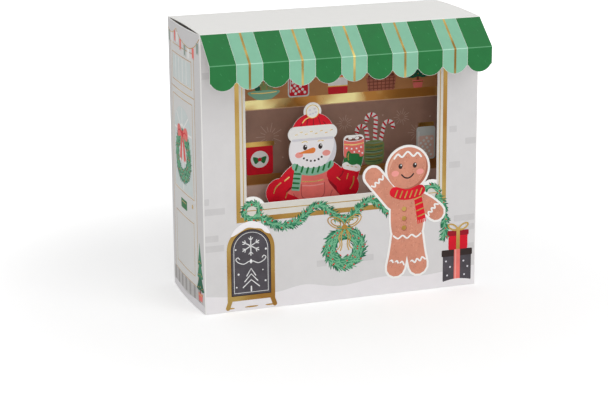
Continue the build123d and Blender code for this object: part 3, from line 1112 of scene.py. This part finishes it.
for k, (line, width) in enumerate(limbs):
    ginger.line(WHITE, 16 + k, width + 2 * MARGIN, *line)
    ginger.line(TAN, 22 + k, width, *line)
ginger.disc(WHITE, 20, 0, HEAD_V, HEAD_RADIUS + MARGIN)
ginger.loop(WHITE, 21, *grown_trunk(MARGIN))
ginger.loop(TAN, 26, *trunk)
ginger.disc(TAN, 27, 0, HEAD_V, HEAD_RADIUS)
ginger.film(DEEP_TAN, 28, crescent(0, HEAD_V, 12.4, 1.5, 235, 395))
ginger.film(PALE_TAN, 28, crescent(0, HEAD_V, 11.6, 1.2, 110, 190))
print("dough:", len(ginger.films.faces), "faces")

# %% Icing and face
ICING = 0.95
ICING_WAVE = 0.9
ICING_BENDS = 7


def icing(middle, along, half):
    """A wavy line of icing across a limb."""
    forward = Vector(along).normalized()
    sideways = Vector((-forward.y, forward.x)) * half
    points = []
    for k in range(ICING_BENDS):
        place = Vector(middle) + sideways * (2 * k / (ICING_BENDS - 1) - 1) + forward * ICING_WAVE * (-1) ** k
        points.append((place.x, place.y))
    return points


for middle, along_limb, half in (
    ((-18.0, 67.3), (-13, 16), 4.4),
    ((15.6, 48.2), (5, -4.5), 4.2),
    ((-6.4, 18.5), (-1.6, -7.5), 4.9),
    ((6.4, 18.5), (1.6, -7.5), 4.9),
):
    ginger.line(WHITE, 29, ICING, *icing(middle, along_limb, half))
ginger.line(WHITE, 30, 1.1, *mirrored([(0, 83.4), (3.4, 80.6), (6, 82.3), (8.2, 80.0)]))
for ginger.side in (-1, 1):
    ginger.disc(DARK, 30, 4.4, 75.2, 1.25, 1.55)
    ginger.disc(WHITE, 31, 4.4 + 0.4 * ginger.side, 75.8, 0.42)
    ginger.disc(PALE_CORAL, 29, 7.6, 71.2, 2.3, 1.7)
ginger.line(DARK, 30, 0.85, *mirrored([(0, 68.0), (2, 68.6), (3.6, 70.2)]))
print("with icing and face:", len(ginger.films.faces), "faces")

# %% Scarf, buttons and flecks
ginger.film(RED, 31, [(3.6, 58.6), (8.6, 57.4), (11.4, 43.4), (6.2, 42.2)])
ginger.loop(RED, 33, *mirrored([(0, 61.4), (7.5, 63.4), (10.6, 61.6), (10.2, 58.4), (5.5, 56), (0, 55.2)]))
for k in range(4):
    low = 44.6 + 3.5 * k
    lean = -0.72 * k
    ginger.line(GOLD, 32, 0.75, (6.6 + lean, low), (10.6 + lean, low + 1.3))
for k in range(6):
    lean = -7.6 + 3.0 * k
    dip = 1.5 * math.sin(math.pi * (k + 0.5) / 6)
    ginger.line(GOLD, 34, 0.75, (lean, 58.0 - dip), (lean + 1.5, 61.6 - dip))
for k in range(5):
    root = 6.5 + 1.1 * k
    ginger.line(RED, 30, 0.6, (root, 43.2 + 0.25 * k), (root + 0.2, 40.4 + 0.25 * k))
for low in (50.0, 44.4, 38.8):
    ginger.disc(GOLD, 29, -2, low, 1.35)
    ginger.disc(DEEP_TAN, 28, -1.8, low - 0.3, 1.6)
ginger.line(WHITE, 29, ICING, *mirrored([(0, 32.4), (2.8, 34.2), (5.6, 32.6), (8.4, 34.4)]))
baked = [smooth_loop(grown_trunk(-1.0)), ellipse(0, HEAD_V, 11.0)]
baked += [stroke(line, width - 2.4) for line, width in limbs]
baked = [ginger.placed(outline) for outline in baked]
ginger.lay(FRONT)
dark_flecks = {"Ink": TAN_FLECK, "Density": 0.16, "Length": 1.1, "Width": 0.5, "Seed": 3}
pale_flecks = {"Ink": PALE_TAN, "Density": 0.1, "Length": 0.9, "Width": 0.4, "Seed": 14}
flecked("baked_dark", FRONT, baked, 27.4, dark_flecks)
flecked("baked_pale", FRONT, baked, 27.7, pale_flecks)

# %% [markdown]
# ## Presents
# Two boxes with ribbon stand in the snow at the corner. They are flat print like the rest, so they are drawn
# as rectangles with slightly round corners, from the back to the front, and a drift covers their feet.

# %% Presents
presents = Motif("presents")
presents.block(CHARCOAL, 6, 61.6, 3.2, 79.4, 19.6, 0.8)
presents.block(DARK, 7, 60.8, 18.4, 80.0, 22.4, 0.7)
presents.block(CORAL, 8, 68.6, 3.2, 72.4, 22.4)
presents.block(PALE_CORAL, 9, 69.2, 3.2, 70.0, 22.4)
spots = [(64.4, 7), (66.2, 12), (63.6, 15.6), (75.2, 6.6), (77.2, 11.4), (74.6, 15)]
presents.dots(SNOW_SHADE, 7, 0.55, 0.55, *spots)
presents.at(71, 0)
presents.band(RED, 6, 6.0, 22.4, 32.4, 0.7)
presents.band(DEEP_RED, 7, 6.7, 30.6, 33.8, 0.6)
presents.band(GOLD, 8, 1.1, 22.4, 33.8)
for presents.side in (-1, 1):
    presents.film(GOLD, 9, ellipse(3.4, 35.9, 3.6, 1.9, 28), [ellipse(3.5, 36.0, 2.4, 0.9, 28)])
presents.disc(GOLD, 10, 0, 34.5, 1.2)
presents.loop(DRIFT, 11, (-12.4, 1.2), (-9, 3.4), (-1, 4.6), (7, 3.6), (9.6, 2.0), (9.4, 0.8), (-1, 0.6))
presents.lay(FRONT)

# %% [markdown]
# ## The shelf layer
# Behind the window a brown wall with two foil shelves holds jars, a basket and sweets. The band above the
# upper shelf is warmer, and pale starbursts and sparks dot the wall. Shelves that stand out would shade the
# wall, and on the card they are print, so they are bands of foil with a paler line under each.

# %% Shelves and the wall behind them
UPPER_SHELF = (105.4, 110.8)
LOWER_SHELF = (61.2, 67.0)
RAYS = 14
shelf_edge = shelf_box[1].x / MM - 1.2
fields = (shelf_box[0].z / MM + 0.3, LOWER_SHELF[0], UPPER_SHELF[0], shelf_box[1].z / MM - 0.3)
shelves = Motif("shelf_wall")
for shade, low, high in zip((PALE_COCOA, COCOA, WARM_COCOA), fields, fields[1:]):
    shelves.band(shade, 0, shelf_edge, low, high)
for (low, high), metal in ((UPPER_SHELF, SHELF_FOIL), (LOWER_SHELF, LOW_SHELF_FOIL)):
    shelves.band(metal, 2, shelf_edge, low, high)
    shelves.band(SHELF_LINE, 1, shelf_edge, low - 0.5, low)
bursts = [(-30, 89, 8), (62, 84, 6), (16, 93, 5), (-12, 54, 6), (46, 54, 5), (52, 94, 5), (-46, 75, 5)]
for u, v, reach in bursts:
    for k in range(RAYS):
        ends = (reach * 0.35, reach * (1.0 if k % 2 else 0.72))
        shelves.line(COCOA_SPARK, 1, 0.32, *(polar((u, v), end, 360 * k / RAYS) for end in ends))
sparks = [(-40, 80), (-22, 76), (-5, 95), (24, 78), (40, 96), (70, 93), (50, 72), (68, 74), (-16, 70)]
sparks.append((10, 86))
shelves.dots(COCOA_SPARK, 2, 0.5, 0.5, *sparks)
shelves.lay(SHELF)

# %% [markdown]
# ### Goods
# Goods of one kind share a function, which draws them round the middle of their foot. The motif's middle is
# moved along the shelf, so a jar or a fir can stand anywhere, and a fir stands by the door as well.

# %% Kinds of goods
JAR_FILLED = 0.72
POT_HEIGHT = 6.5
goods = Motif("shelf_goods")


def jar(width, height, content):
    """A glass jar of sweets with a foil lid."""
    half = width / 2
    filled = height * JAR_FILLED
    goods.band(GLASS_BLUE, 5, half, 0, height, 1.8)
    goods.band(content, 6, half - 0.8, 0.8, filled, 1.2)
    for k in range(16):
        place = 2.0 - half + (width - 4.0) * ((0.3 + 0.618 * k) % 1)
        goods.disc(WHITE, 7 + k % 2, place, 2.0 + (filled - 3.4) * k / 15, 0.8)
    goods.band(GOLD, 9, half - 1.0, height, height + 2.6, 0.6)
    goods.line(WHITE, 9, 0.5, (1.5 - half, 3), (1.5 - half, height - 3))


def heap(low, width, size, inks):
    """A heap of round things, widest at the bottom."""
    widest = int(width / (2 * size))
    for tier in range(3):
        count = widest - tier
        for k in range(count):
            place = (k - (count - 1) / 2) * width / widest
            shade = inks[(k + tier) % len(inks)]
            goods.disc(shade, 5 + tier + k % 2, place, low + tier * size * 1.5, size, size * 0.92)


def fir(motif, width, height, level):
    """A small potted fir in three tiers."""
    motif.film(CORAL, level + 4, [(-2.6, 0), (2.6, 0), (3.4, 4.6), (-3.4, 4.6)])
    motif.line(GOLD, level + 5, 0.6, (-3.0, 3.6), (3.0, 3.6))
    motif.band(CHESTNUT, level, 0.7, 4, 8)
    for tier, shade in enumerate((NEEDLE_DARK, NEEDLE_MID, NEEDLE_MID)):
        half = width / 2 * (1 - 0.24 * tier)
        base = POT_HEIGHT + (height - POT_HEIGHT) * 0.27 * tier
        rise = (height - POT_HEIGHT) * 0.46
        bough = [(0, base + 0.2), (half * 0.5, base - 0.7), (half, base), (half * 0.3, base + rise * 0.6)]
        motif.film(shade, level + 1 + tier, mirrored(bough + [(0, base + rise)]))
        for k in (-1, 0, 1):
            motif.disc(GOLD, level + 6, k * half * 0.5, base + 1.3 + 0.5 * (k == 0), 0.45)


print("shelves at", UPPER_SHELF[1], "and", LOWER_SHELF[1], "mm")

# %% Bowl, jar, tin, basket and fir on the upper shelf
upper = UPPER_SHELF[1]
goods.at(-33, upper)
heap(4.2, 15, 1.7, (OLIVE, NEEDLE_DARK, OLIVE))
goods.loop(MINT, 10, *mirrored([(9, 5), (6, 1.2), (3, 0)]))
goods.line(GOLD, 11, 0.5, (-7.5, 4.2), (0, 3.8), (7.5, 4.2))
goods.at(-12, upper)
jar(13, 17, RED)
goods.at(12, upper)
goods.band(RED, 5, 6, 0, 14, 1.2)
goods.band(WHITE, 6, 6, 5, 9.5)
goods.band(GOLD, 7, 6, 4.4, 5)
goods.band(GOLD, 7, 6, 9.5, 10.1)
goods.band(GOLD, 6, 6.8, 13, 15.6, 0.8)
goods.at(39, upper)
heap(8.4, 17, 1.9, (CHESTNUT, DEEP_TAN, CHESTNUT))
goods.film(DEEP_TAN, 11, mirrored([(9.6, 8.2), (8, 0)]))
for k in range(4):
    goods.line(CHESTNUT, 12, 0.45, (-8.4, 1.4 + 2 * k), (8.4, 1.4 + 2 * k))
for k in range(7):
    goods.line(CHESTNUT, 13, 0.45, (-7.2 + 2.4 * k, 0.5), (-7.8 + 2.6 * k, 7.8))
fir(goods.at(62, upper), 13, 24, 5)
print("upper shelf:", len(goods.films.faces), "faces")

# %% Box, cakes, jar and sweets on the lower shelf
CANE_WIDTH = 2.5
lower = LOWER_SHELF[1]
goods.at(-36, lower)
goods.band(RED, 5, 8, 0, 18, 1.4)
goods.disc(WHITE, 6, 0, 9, 5.4, 5.0)
goods.loop(DARK_GREEN, 7, (0, 9), (-4, 10.5), (-2.6, 6.4))
goods.loop(DARK_GREEN, 7, (0, 9.2), (2.6, 6.4), (4, 10.5))
goods.disc(RED, 8, 0, 8.9, 1.1)
goods.band(GOLD, 6, 9, 16.6, 19.4, 0.8)
goods.at(-8, lower)
for k in range(4):
    goods.band((MINT, WHITE)[k % 2], 5 + k, 7 - 0.7 * k, 2.6 * k, 2.6 * k + 2.9, 1.2)
goods.at(67.5, lower)
jar(12, 20, PALE_COCOA)
goods.at(34.5, lower)
goods.loop(OLIVE, 14, *mirrored([(5.2, 13.6), (6.2, 7), (4.6, 0.3)]))
for low in (3.4, 6.4, 9.4, 12.0):
    for rise, shade, width in ((0.0, GOLD, 0.5), (-1.3, NEEDLE_DARK, 0.4), (1.2, OLIVE_GREY, 0.4)):
        goods.line(shade, 15, width, (-5.2, low + rise), (0, low + rise - 0.5), (5.2, low + rise))
canes = []
for foot, u, v, hook, turn in (
    (-2.8, -4.8, 20.5, -3, (0, 190)),
    (0.2, 1.2, 27, -3, (0, 190)),
    (2.8, 6, 22, 3, (180, -10)),
):
    cane = [(foot, 8), ((foot + u) / 2, 4 + v / 2), *arc(u + hook, v, 3, 3, *turn, 10)]
    goods.line(WHITE, 5 + 2 * len(canes), CANE_WIDTH, *cane, smooth=False)
    canes.append(goods.placed(cane))
goods.lay(SHELF)

# %% [markdown]
# ### Sweets and bulbs
# The canes are white strokes, and their red stripes are copies along the same lines, so that they can't slip
# off. The bulbs are copies along the line of their wire, and the wire is a thin stroke of foil.

# %% Candy stripes and a string of bulbs
sweet_stripe = Motif("sweet_stripe")
reach = CANE_WIDTH / 2
sweet_stripe.film(RED, 12, [(-0.95, -reach), (0.15, -reach), (0.95, reach), (-0.15, reach)])
along("candy_stripes", SHELF, canes, sweet_stripe, 2.5, RED)
bulb = Motif("bulb")
bulb.loop(RED, 6, *mirrored([(0, -0.6), (1.3, -2.6), (0.9, -4.2), (0, -5.0)]))
wire_line = smooth_path(mirrored([(0, 123.5), (26, 129.5), (52, 125.5), (78, 134)]))
along("bulb_row", SHELF, [wire_line], bulb, 9.0, CORAL, 1.0)
wire = Motif("bulb_wire")
wire.line(GOLD, 4, 0.6, *wire_line, smooth=False)
wire.lay(SHELF)

# %% [markdown]
# ## The vendor
# The snowman stands on a layer of its own between the front wall and the shelves. A snowman in the round
# would not be true to a card, so it is drawn in flat fields from the back to the front: coat, apron, arms,
# mug, head, scarf and hat. The print runs out to the die's edge, and foil strokes highlight the clothes.

# %% Coat and apron
SNOW_U = -11.0
vendor = Motif("snowman_vendor", SNOW_U)
vendor.disc(RED, 1, 0, 56, 23.68)
for vendor.side in (-1, 1):
    vendor.disc(RED, 2, 20, 61, 8.18)
    vendor.line(CORAL, 3, 3.2, (8.3, 72), (9.4, 75.4))
    vendor.line(DEEP_CORAL, 5, 0.5, (9.5, 73), (10.5, 66.2), (14.6, 61.8))
    vendor.line(DEEP_CORAL, 5, 0.45, (11.7, 59.5), (10.8, 56.5), (11.7, 53.5))
vendor.film(CORAL, 4, mirrored([(9.8, 73.4), (10.8, 66), (15.0, 61.6), (17.2, 52), (17.4, 40)]))
vendor.line(BRIGHT_GOLD, 6, 0.55, (-6.6, 66.2), (0, 65.6), (6.6, 66.2))
vendor.line(DEEP_CORAL, 5, 0.5, *mirrored([(0, 55.4), (6.4, 57), (7.0, 64.6)]))
vendor.line(PALE_CORAL, 5, 0.7, (-6.2, 63.8), (0, 63.3), (6.2, 63.8))
print("coat and apron:", len(vendor.films.faces), "faces")

# %% Arms
hip_arm = [(-12.6, 69.6), (-18.0, 65.4), (-20.8, 61.2), (-18.6, 57.2), (-12.0, 53.6)]
vendor.line(DEEP_RED, 6, 9.0, *((u + 0.5, v - 0.6) for u, v in hip_arm))
vendor.line(RED, 7, 8.6, *hip_arm)
vendor.line(DEEP_RED, 6, 9.0, (13.6, 66.6), (18.6, 60.4))
vendor.line(RED, 7, 8.6, (12.6, 69.0), (17.4, 64.4), (20.2, 61.4))
vendor.line(RED, 8, 11.3, (20.0, 61.0), (23.45, 72.04))
vendor.line(DEEP_RED, 9, 0.7, (15.9, 66.6), (17.6, 68.2), (18.4, 70.2))
for width, *highlight in (
    (0.75, (-19.4, 66.6), (-22.4, 64.0), (-23.6, 61)),
    (0.75, (-14.4, 69.4), (-17.0, 67.6)),
    (0.75, (24.9, 66.4), (24.4, 62.4), (22.6, 59.4)),
    (0.55, (-15.6, 60.6), (-16.6, 57.4)),
    (0.55, (14.6, 66.8), (16.4, 65.2)),
    (0.55, (20.6, 65.4), (21.4, 68.4)),
):
    vendor.line(BRIGHT_GOLD, 10, width, *highlight)
vendor.line(WHITE, 11, 4.2, (20.0, 73.2), (27.0, 71.2))
for k in range(3):
    vendor.line(BRIGHT_GOLD, 12, 0.4, (20.6 + 2.5 * k, 73.4 - 0.7 * k), (21.8 + 2.5 * k, 73.0 - 0.7 * k))
print("with arms:", len(vendor.films.faces), "faces")

# %% Mug and mitten
palm = [(18.15, 73.9), (28.85, 70.55), (30.35, 75.3), (30.6, 77.2), (30.6, 79.0), (19.4, 79.0)]
vendor.film(DARK_GREEN, 9, palm)
vendor.at(SNOW_U + 25, 77.8)
vendor.band(CORAL, 10, 6.15, 0, 11.0, 1.5)
vendor.disc(WHITE, 11, 0, 11.0, 6.1, 1.8)
vendor.disc(CHESTNUT, 12, 0, 10.9, 5.3, 1.3)
vendor.dots(WHITE, 13, 1.3, 0.9, (-2.2, 11.4), (1.8, 11.1), (-0.1, 11.9))
vendor.line(BRIGHT_GOLD, 11, 0.6, (-5.8, 8.0), (0, 7.2), (5.8, 8.0))
mug_dots = [(-4.4, 5.6), (-1.4, 5.0), (1.6, 5.0), (4.4, 5.6), (0.2, 3.0), (3.2, 3.2), (5.2, 2.0)]
vendor.dots(WHITE, 11, 0.55, 0.55, *mug_dots)
vendor.at(SNOW_U, 0)
mitten = [(21.4, 74.8), (20.4, 77.6), (20.6, 80.6), (22.0, 81.8), (23.2, 80.2), (25.4, 80.0), (28.0, 79.4)]
vendor.loop(DARK_GREEN, 14, *mitten, (28.6, 76.6), (26.8, 73.8), (24, 73.2))
vendor.line(BRIGHT_GOLD, 15, 0.5, (21.6, 76.4), (21.4, 78.4), (21.8, 80.2))
print("with mug and mitten:", len(vendor.films.faces), "faces")

# %% Head and scarf
vendor.disc(SNOW, 8, 0, 84, 14.18)
vendor.film(SNOW_SHADE, 9, crescent(0, 84, 14.1, 3.0, 265, 385))
vendor.loop(MINT, 16, *mirrored([(0, 73.8), (6, 74.6), (11.2, 77.2), (12.4, 74.2), (7.4, 70.6), (0, 69.2)]))
for k in range(7):
    lean = -9.9 + 3.3 * k
    sag = 3.0 * (1 - (lean / 11) ** 2)
    vendor.line(DARK_GREEN, 17, 1.2, (lean - 0.4, 73.9 - sag), (lean + 0.5, 76.7 - sag))
vendor.film(MINT, 15, [(-6.4, 72), (-11.2, 73.2), (-13.0, 61.6), (-8.2, 60.8)])
for k in range(4):
    low = 62.6 + 2.7 * k
    vendor.line(DARK_GREEN, 16, 1.1, (-12.3 + 0.4 * k, low + 0.5), (-9.0 + 0.42 * k, low))
for vendor.side in (-1, 1):
    vendor.disc(DARK, 10, 4.6, 86.0, 1.25, 1.6)
    vendor.disc(WHITE, 11, 4.6 + 0.4 * vendor.side, 86.7, 0.42)
    vendor.disc(PALE_CORAL, 10, 8.2, 81.8, 2.4, 1.7)
    vendor.line(BRIGHT_GOLD, 10, 0.5, (3.2, 89.0), (4.8, 89.5), (6.4, 89.0))
vendor.loop(ORANGE, 12, (1.7, 84.2), (0.4, 85.6), (-3.4, 84.6), (-8.4, 82.8), (-3.6, 82.4), (0.4, 82.4))
vendor.dots(DARK, 10, 0.62, 0.62, *arc(0, 83.4, 7.2, 5.6, 222, 318, 5))
print("with head and scarf:", len(vendor.films.faces), "faces")

# %% Hat
vendor.film(RED, 12, arc(0, 94, 12.68, 11.68, 0, 180, 24))
for lean in (-7.6, -3.6, 0.6, 4.8, 8.6):
    high = 94 + 9.6 * math.sqrt(1 - (lean / 11.4) ** 2)
    vendor.line(DEEP_RED, 13, 0.55, (lean, 96), (lean * 0.94, (96 + high) / 2), (lean * 0.74, high))
vendor.line(BRIGHT_GOLD, 14, 0.6, (-6.0, 100.4), (-4.4, 102.2), (-2.2, 103.2))
vendor.band(WHITE, 15, 14.65, 89.6, 98.4, 4.3)
vendor.band(SNOW_SHADE, 16, 12.4, 89.8, 91.2, 0.6)
for k in range(8):
    mark = -10.5 + 3 * k
    rise = 1.3 * (k % 2)
    vendor.line(BRIGHT_GOLD, 17, 0.45, (mark, 93.6 + rise), (mark + 1.3, 93.8 + rise))
vendor.disc(WHITE, 15, 0, 106.5, 3.9)
vendor.film(BRIGHT_GOLD, 16, ellipse(0, 106.5, 3.9), [ellipse(0, 106.5, 3.5)])
vendor.dots(SNOW_SHADE, 16, 0.7, 0.5, (-1.6, 107.4), (1.2, 108.0), (0.2, 105.4), (-1.4, 105.0), (1.9, 106))
vendor.lay(VENDOR)

# %% [markdown]
# ## The sides and the back
# The left side is the stall's door: foil lines, panes over the door, a wreath with a red bow, and pennants
# on a string. The right side and the back carry the wall's grey field, snow and a few bricks. All of it is
# drawn flat round the middle of the door or wall, and the face bends it round the bow of the side.

# %% Left side
DOOR_U = 31.0  # middle of the door
THIN_FOIL = 0.45
FAN_V = 98
GLASS_HALF = 17.6
side_edge = depth - EDGE
side_print = Motif("left_side_print")
side_print.block(WALL, 0, EDGE, GROUND, side_edge, wall_top)
side_print.at(DOOR_U, 0)
side_print.band(DOOR, 1, 23, 13, 145)
side_print.band(GLASS_BLUE, 2, 18.6, 126.4, 139.6)
side_print.band(GLASS_BLUE, 2, GLASS_HALF, 64, FAN_V)
side_print.film(GLASS_BLUE, 3, arc(0, FAN_V, GLASS_HALF, 14, 0, 180, 24))
for half, low, high in ((24, 12.6, 146), (20, 125, 141), (20, 62.4, 117), (18.6, 18, 49)):
    inside = across(half - THIN_FOIL, low + THIN_FOIL, high - THIN_FOIL)
    side_print.film(GOLD, 3, across(half, low, high), [inside])
side_print.band(GOLD, 3, 23.6, 120.6, 121.1)
side_print.band(WHITE, 4, GLASS_HALF, 97.4, 98.6)
for spoke in zip(arc(0, FAN_V, 3.75, 3, 45, 135, 2), arc(0, FAN_V, 16.5, 13.2, 45, 135, 2)):
    side_print.line(WHITE, 5, 0.8, *spoke)
side_print.film(WHITE, 6, arc(0, FAN_V, 5, 4.4, 0, 180, 16))
side_print.band(WHITE, 4, 0.5, 64, 97.4)
side_print.band(WHITE, 5, GLASS_HALF, 80.4, 81.4)
side_print.band(DARK_GREEN, 4, 6, 53, 58.4, 0.4)
side_print.line(GOLD, 5, THIN_FOIL, (-4, 56.8), (4, 56.8))
side_print.disc(GOLD, 4, 16.6, 58.2, 1.3)
side_print.at(0, 0)
side_print.film(DRIFT, 6, snow_field([(EDGE, 3.2), (14, 4.6), (32, 3.4), (50, 5.0), (side_edge, 4.2)]))
print("door:", len(side_print.films.faces), "faces")

# %% [markdown]
# ### Pennants, fir and plinth
# The string hangs in two swags from a peg. Pennants could be copies along the line, but their colours change
# from one to the next, so a loop hangs each from a point of the string. Stones and bars are plain rows.

# %% Pennants, fir and plinth
peg = (22.0, 155.0)
pennant = mirrored([(1.6, -0.2), (1.4, -6.6), (0, -5.2)])
shades = (OLIVE_GREY, WHITE, CORAL)
left_swag = [(EDGE + 0.3, 152.4), (8, 151.0), (15, 152.0), peg]
right_swag = [peg, (28, 151.6), (38, 149.0), (48, 148.0), (57, 150.4), (side_edge - 0.3, 155.4)]
for start, points in enumerate((left_swag, right_swag)):
    string = smooth_path(points)
    side_print.at(0, 0).line(GOLD, 5 + start, 0.5, *string, smooth=False)
    count = 3 + 3 * start
    for k in range(count):
        side_print.at(*string[round((len(string) - 1) * (k + 0.6) / (count + 0.2))])
        side_print.film(shades[(k + start) % 3], 8, pennant)
fir(side_print.at(58, 6), 11.5, 34, 7)
side_print.lay(LEFT)
for name, shade, start, count in (("plinth_light", STONE_LIGHT, 0.9, 8), ("plinth_dark", STONE_DARK, 5.0, 7)):
    stone = Motif(name)
    stone.block(shade, 2, start, 4.6, start + 3.7, 12.4, 0.3)
    row(name + "_stones", LEFT, stone, count, 8.2)
bar = Motif("transom_bar")
bar.block(WHITE, 3, 19.2, 126.4, 20.0, 139.6)
row("transom_bars", LEFT, bar, 4, 7.3)

# %% [markdown]
# ### Wreath on the door
# The wreath is the front one's tree on wider rings. Its bow is a broad ribbon, so it is filled fields with a
# fold line in each, drawn for one side and mirrored.

# %% Wreath on the door
DOOR_KNOT_V = 96.6
door_rings = [ring(DOOR_U, 84, radius) for radius in (9.6, 11.9, 14.0)]
evergreen("door_wreath", LEFT, door_rings, {**wreath_size, "Length": 4.0, "Seed": 21})
door_bow = Motif("door_bow", DOOR_U, DOOR_KNOT_V)
for door_bow.side in (-1, 1):
    door_bow.loop(CORAL, 14, (0.4, 0.2), (5.8, 4.4), (10.2, 2.8), (9.8, -2.2), (5.4, -2.4))
    door_bow.line(RED, 15, 0.7, (1.4, 0.0), (5.2, 1.4), (8.4, 0.6))
    door_bow.film(CORAL, 13, [(0.2, -0.4), (2.8, -1.6), (6.6, -15.4), (4.4, -14.2), (2.2, -16.4)])
    door_bow.line(RED, 14, 0.6, (1.5, -2.6), (2.9, -8.6), (4.0, -13.6))
door_bow.disc(RED, 16, 0, 0, 1.8, 2.0)
door_bow.lay(LEFT)

# %% [markdown]
# ### Right side and back
# The photo hides these two, so they stay plain: the wall's grey field and snow along the ground. There are
# too many bricks to place one by one, so the tree picks them.

# %% Right side and back
right_print = Motif("right_side_print")
right_print.block(WALL, 0, EDGE, GROUND, side_edge, wall_top)
right_print.film(DRIFT, 3, snow_field([(EDGE, 11.5), (20, 9), (42, 11), (side_edge, 9)]))
right_print.lay(RIGHT)
brick_patch("right_bricks", RIGHT, 4, 20, 61, 150, 0.12, 2)
back_print = Motif("back_print")
back_print.band(WALL, 0, wall_edge, GROUND, wall_top)
back_print.film(DRIFT, 3, snow_field([(-wall_edge, 9), (-44, 12), (-4, 9.5), (38, 12), (wall_edge, 9)]))
back_print.lay(BACK)
brick_patch("back_bricks", BACK, -78, 20, 78, 150, 0.08, 6)

# %% [markdown]
# ## Floor, light and camera
# A white product photo: an even white surround, a big soft light from the upper right in front, a small one
# low on the left that looks in at the window, and a pale floor that keeps the card's soft shadow. More light
# would make the surround white too, but it would bleach the print, so the surround is white only to the
# camera and in reflections. The camera is the one fitted to the photo's corners, with a long lens.

# %% Lights and surround
KEY_FROM = Vector((0.6, -1.2, 1.4))
KEY_SIZE = 1.2
KEY_POWER = 7.2
FILL_FROM = Vector((-0.36, -1.34, 0.4))
FILL_SIZE = 0.5
FILL_POWER = 3.1
LIT_PLACE = Vector((0, 0, 0.07))
SURROUND = 0.66


def area_light(name, place, size, power):
    lamp = bpy.data.lights.new(name, "AREA")
    lamp.energy = power
    lamp.size = size
    light = bpy.data.objects.new(name, lamp)
    light.location = place
    light.rotation_euler = (LIT_PLACE - place).to_track_quat("-Z", "Y").to_euler()
    scene.collection.objects.link(light)


def surround():
    """White to the camera and in reflections, dimmer as a light."""
    world = bpy.data.worlds.new("white surround")
    scene.world = world
    world.use_nodes = True
    nodes = Nodes(world.node_tree)
    path = nodes.add("ShaderNodeLightPath")
    seen = nodes.math("MAXIMUM", path["Is Camera Ray"], path["Is Glossy Ray"])
    back = world.node_tree.nodes["Background"].inputs
    nodes.link((1, 1, 1, 1), back["Color"])
    nodes.link(nodes.ramp(seen, 0.0, 1.0, SURROUND, 1.0), back["Strength"])


area_light("key", KEY_FROM, KEY_SIZE, KEY_POWER)
area_light("fill", FILL_FROM, FILL_SIZE, FILL_POWER)
surround()
print("lights:", len(bpy.data.lights))

# %% Floor
FLOOR_HALF = 30.0
FLOOR_Z = -0.0001
FLOOR_GLOW = 0.26  # close to the card
FAR_GLOW = 0.8
GLOW_RANGE = (0.14, 0.45)  # metres from the card's middle
FLOOR_LOOK = {"Base Color": (0.9, 0.9, 0.9, 1), "Emission Color": (1, 1, 1, 1), "Roughness": 0.9}


def floor():
    """A pale sheet that keeps the shadow and fades to white away from the card."""
    mesh = bpy.data.meshes.new("floor")
    corners = [(x, y, FLOOR_Z) for x, y in box(-FLOOR_HALF, -FLOOR_HALF, FLOOR_HALF, FLOOR_HALF)]
    mesh.from_pydata(corners, [], [(0, 1, 2, 3)])
    ground = bpy.data.objects.new("floor", mesh)
    scene.collection.objects.link(ground)
    material = bpy.data.materials.new("floor")
    material.use_nodes = True
    nodes = Nodes(material.node_tree)
    place = nodes.add("ShaderNodeTexCoord")["Object"]
    away = nodes.add("ShaderNodeVectorMath", {0: place}, operation="LENGTH")["Value"]
    fade = nodes.ramp(away, *GLOW_RANGE, FLOOR_GLOW, FAR_GLOW, interpolation_type="SMOOTHSTEP")
    seen = nodes.add("ShaderNodeLightPath")["Is Camera Ray"]
    glow = nodes.math("MULTIPLY", seen, fade)
    shader = material.node_tree.nodes["Principled BSDF"].inputs
    for label, value in {**FLOOR_LOOK, "Specular IOR Level": 0.0, "Emission Strength": glow}.items():
        nodes.link(value, shader[label])
    mesh.materials.append(material)


floor()
print("floor", 2 * FLOOR_HALF, "m wide")

# %% Camera
CAMERA_TARGET = Vector((-0.02338, -0.0235, 0.06036))
CAMERA_DISTANCE = 1.0264
CAMERA_AZIMUTH = math.radians(-19.08)
CAMERA_ELEVATION = math.radians(15.23)
CAMERA_ROLL = math.radians(-0.42)
CAMERA_LENS = 108.6
SENSOR_WIDTH = 36.0


def camera():
    level = math.cos(CAMERA_ELEVATION)
    sideways = math.sin(CAMERA_AZIMUTH) * level
    away = Vector((sideways, -math.cos(CAMERA_AZIMUTH) * level, math.sin(CAMERA_ELEVATION)))
    lens = bpy.data.cameras.new("camera")
    lens.lens = CAMERA_LENS
    lens.sensor_width = SENSOR_WIDTH
    lens.clip_start = 0.01
    view = bpy.data.objects.new("camera", lens)
    view.location = CAMERA_TARGET + away * CAMERA_DISTANCE
    turn = away.to_track_quat("Z", "Y") @ Matrix.Rotation(CAMERA_ROLL, 3, "Z").to_quaternion()
    view.rotation_euler = turn.to_euler()
    scene.collection.objects.link(view)
    scene.camera = view


camera()
scene.view_settings.view_transform = "Standard"
print("camera with a lens of", CAMERA_LENS, "mm")

# %% [markdown]
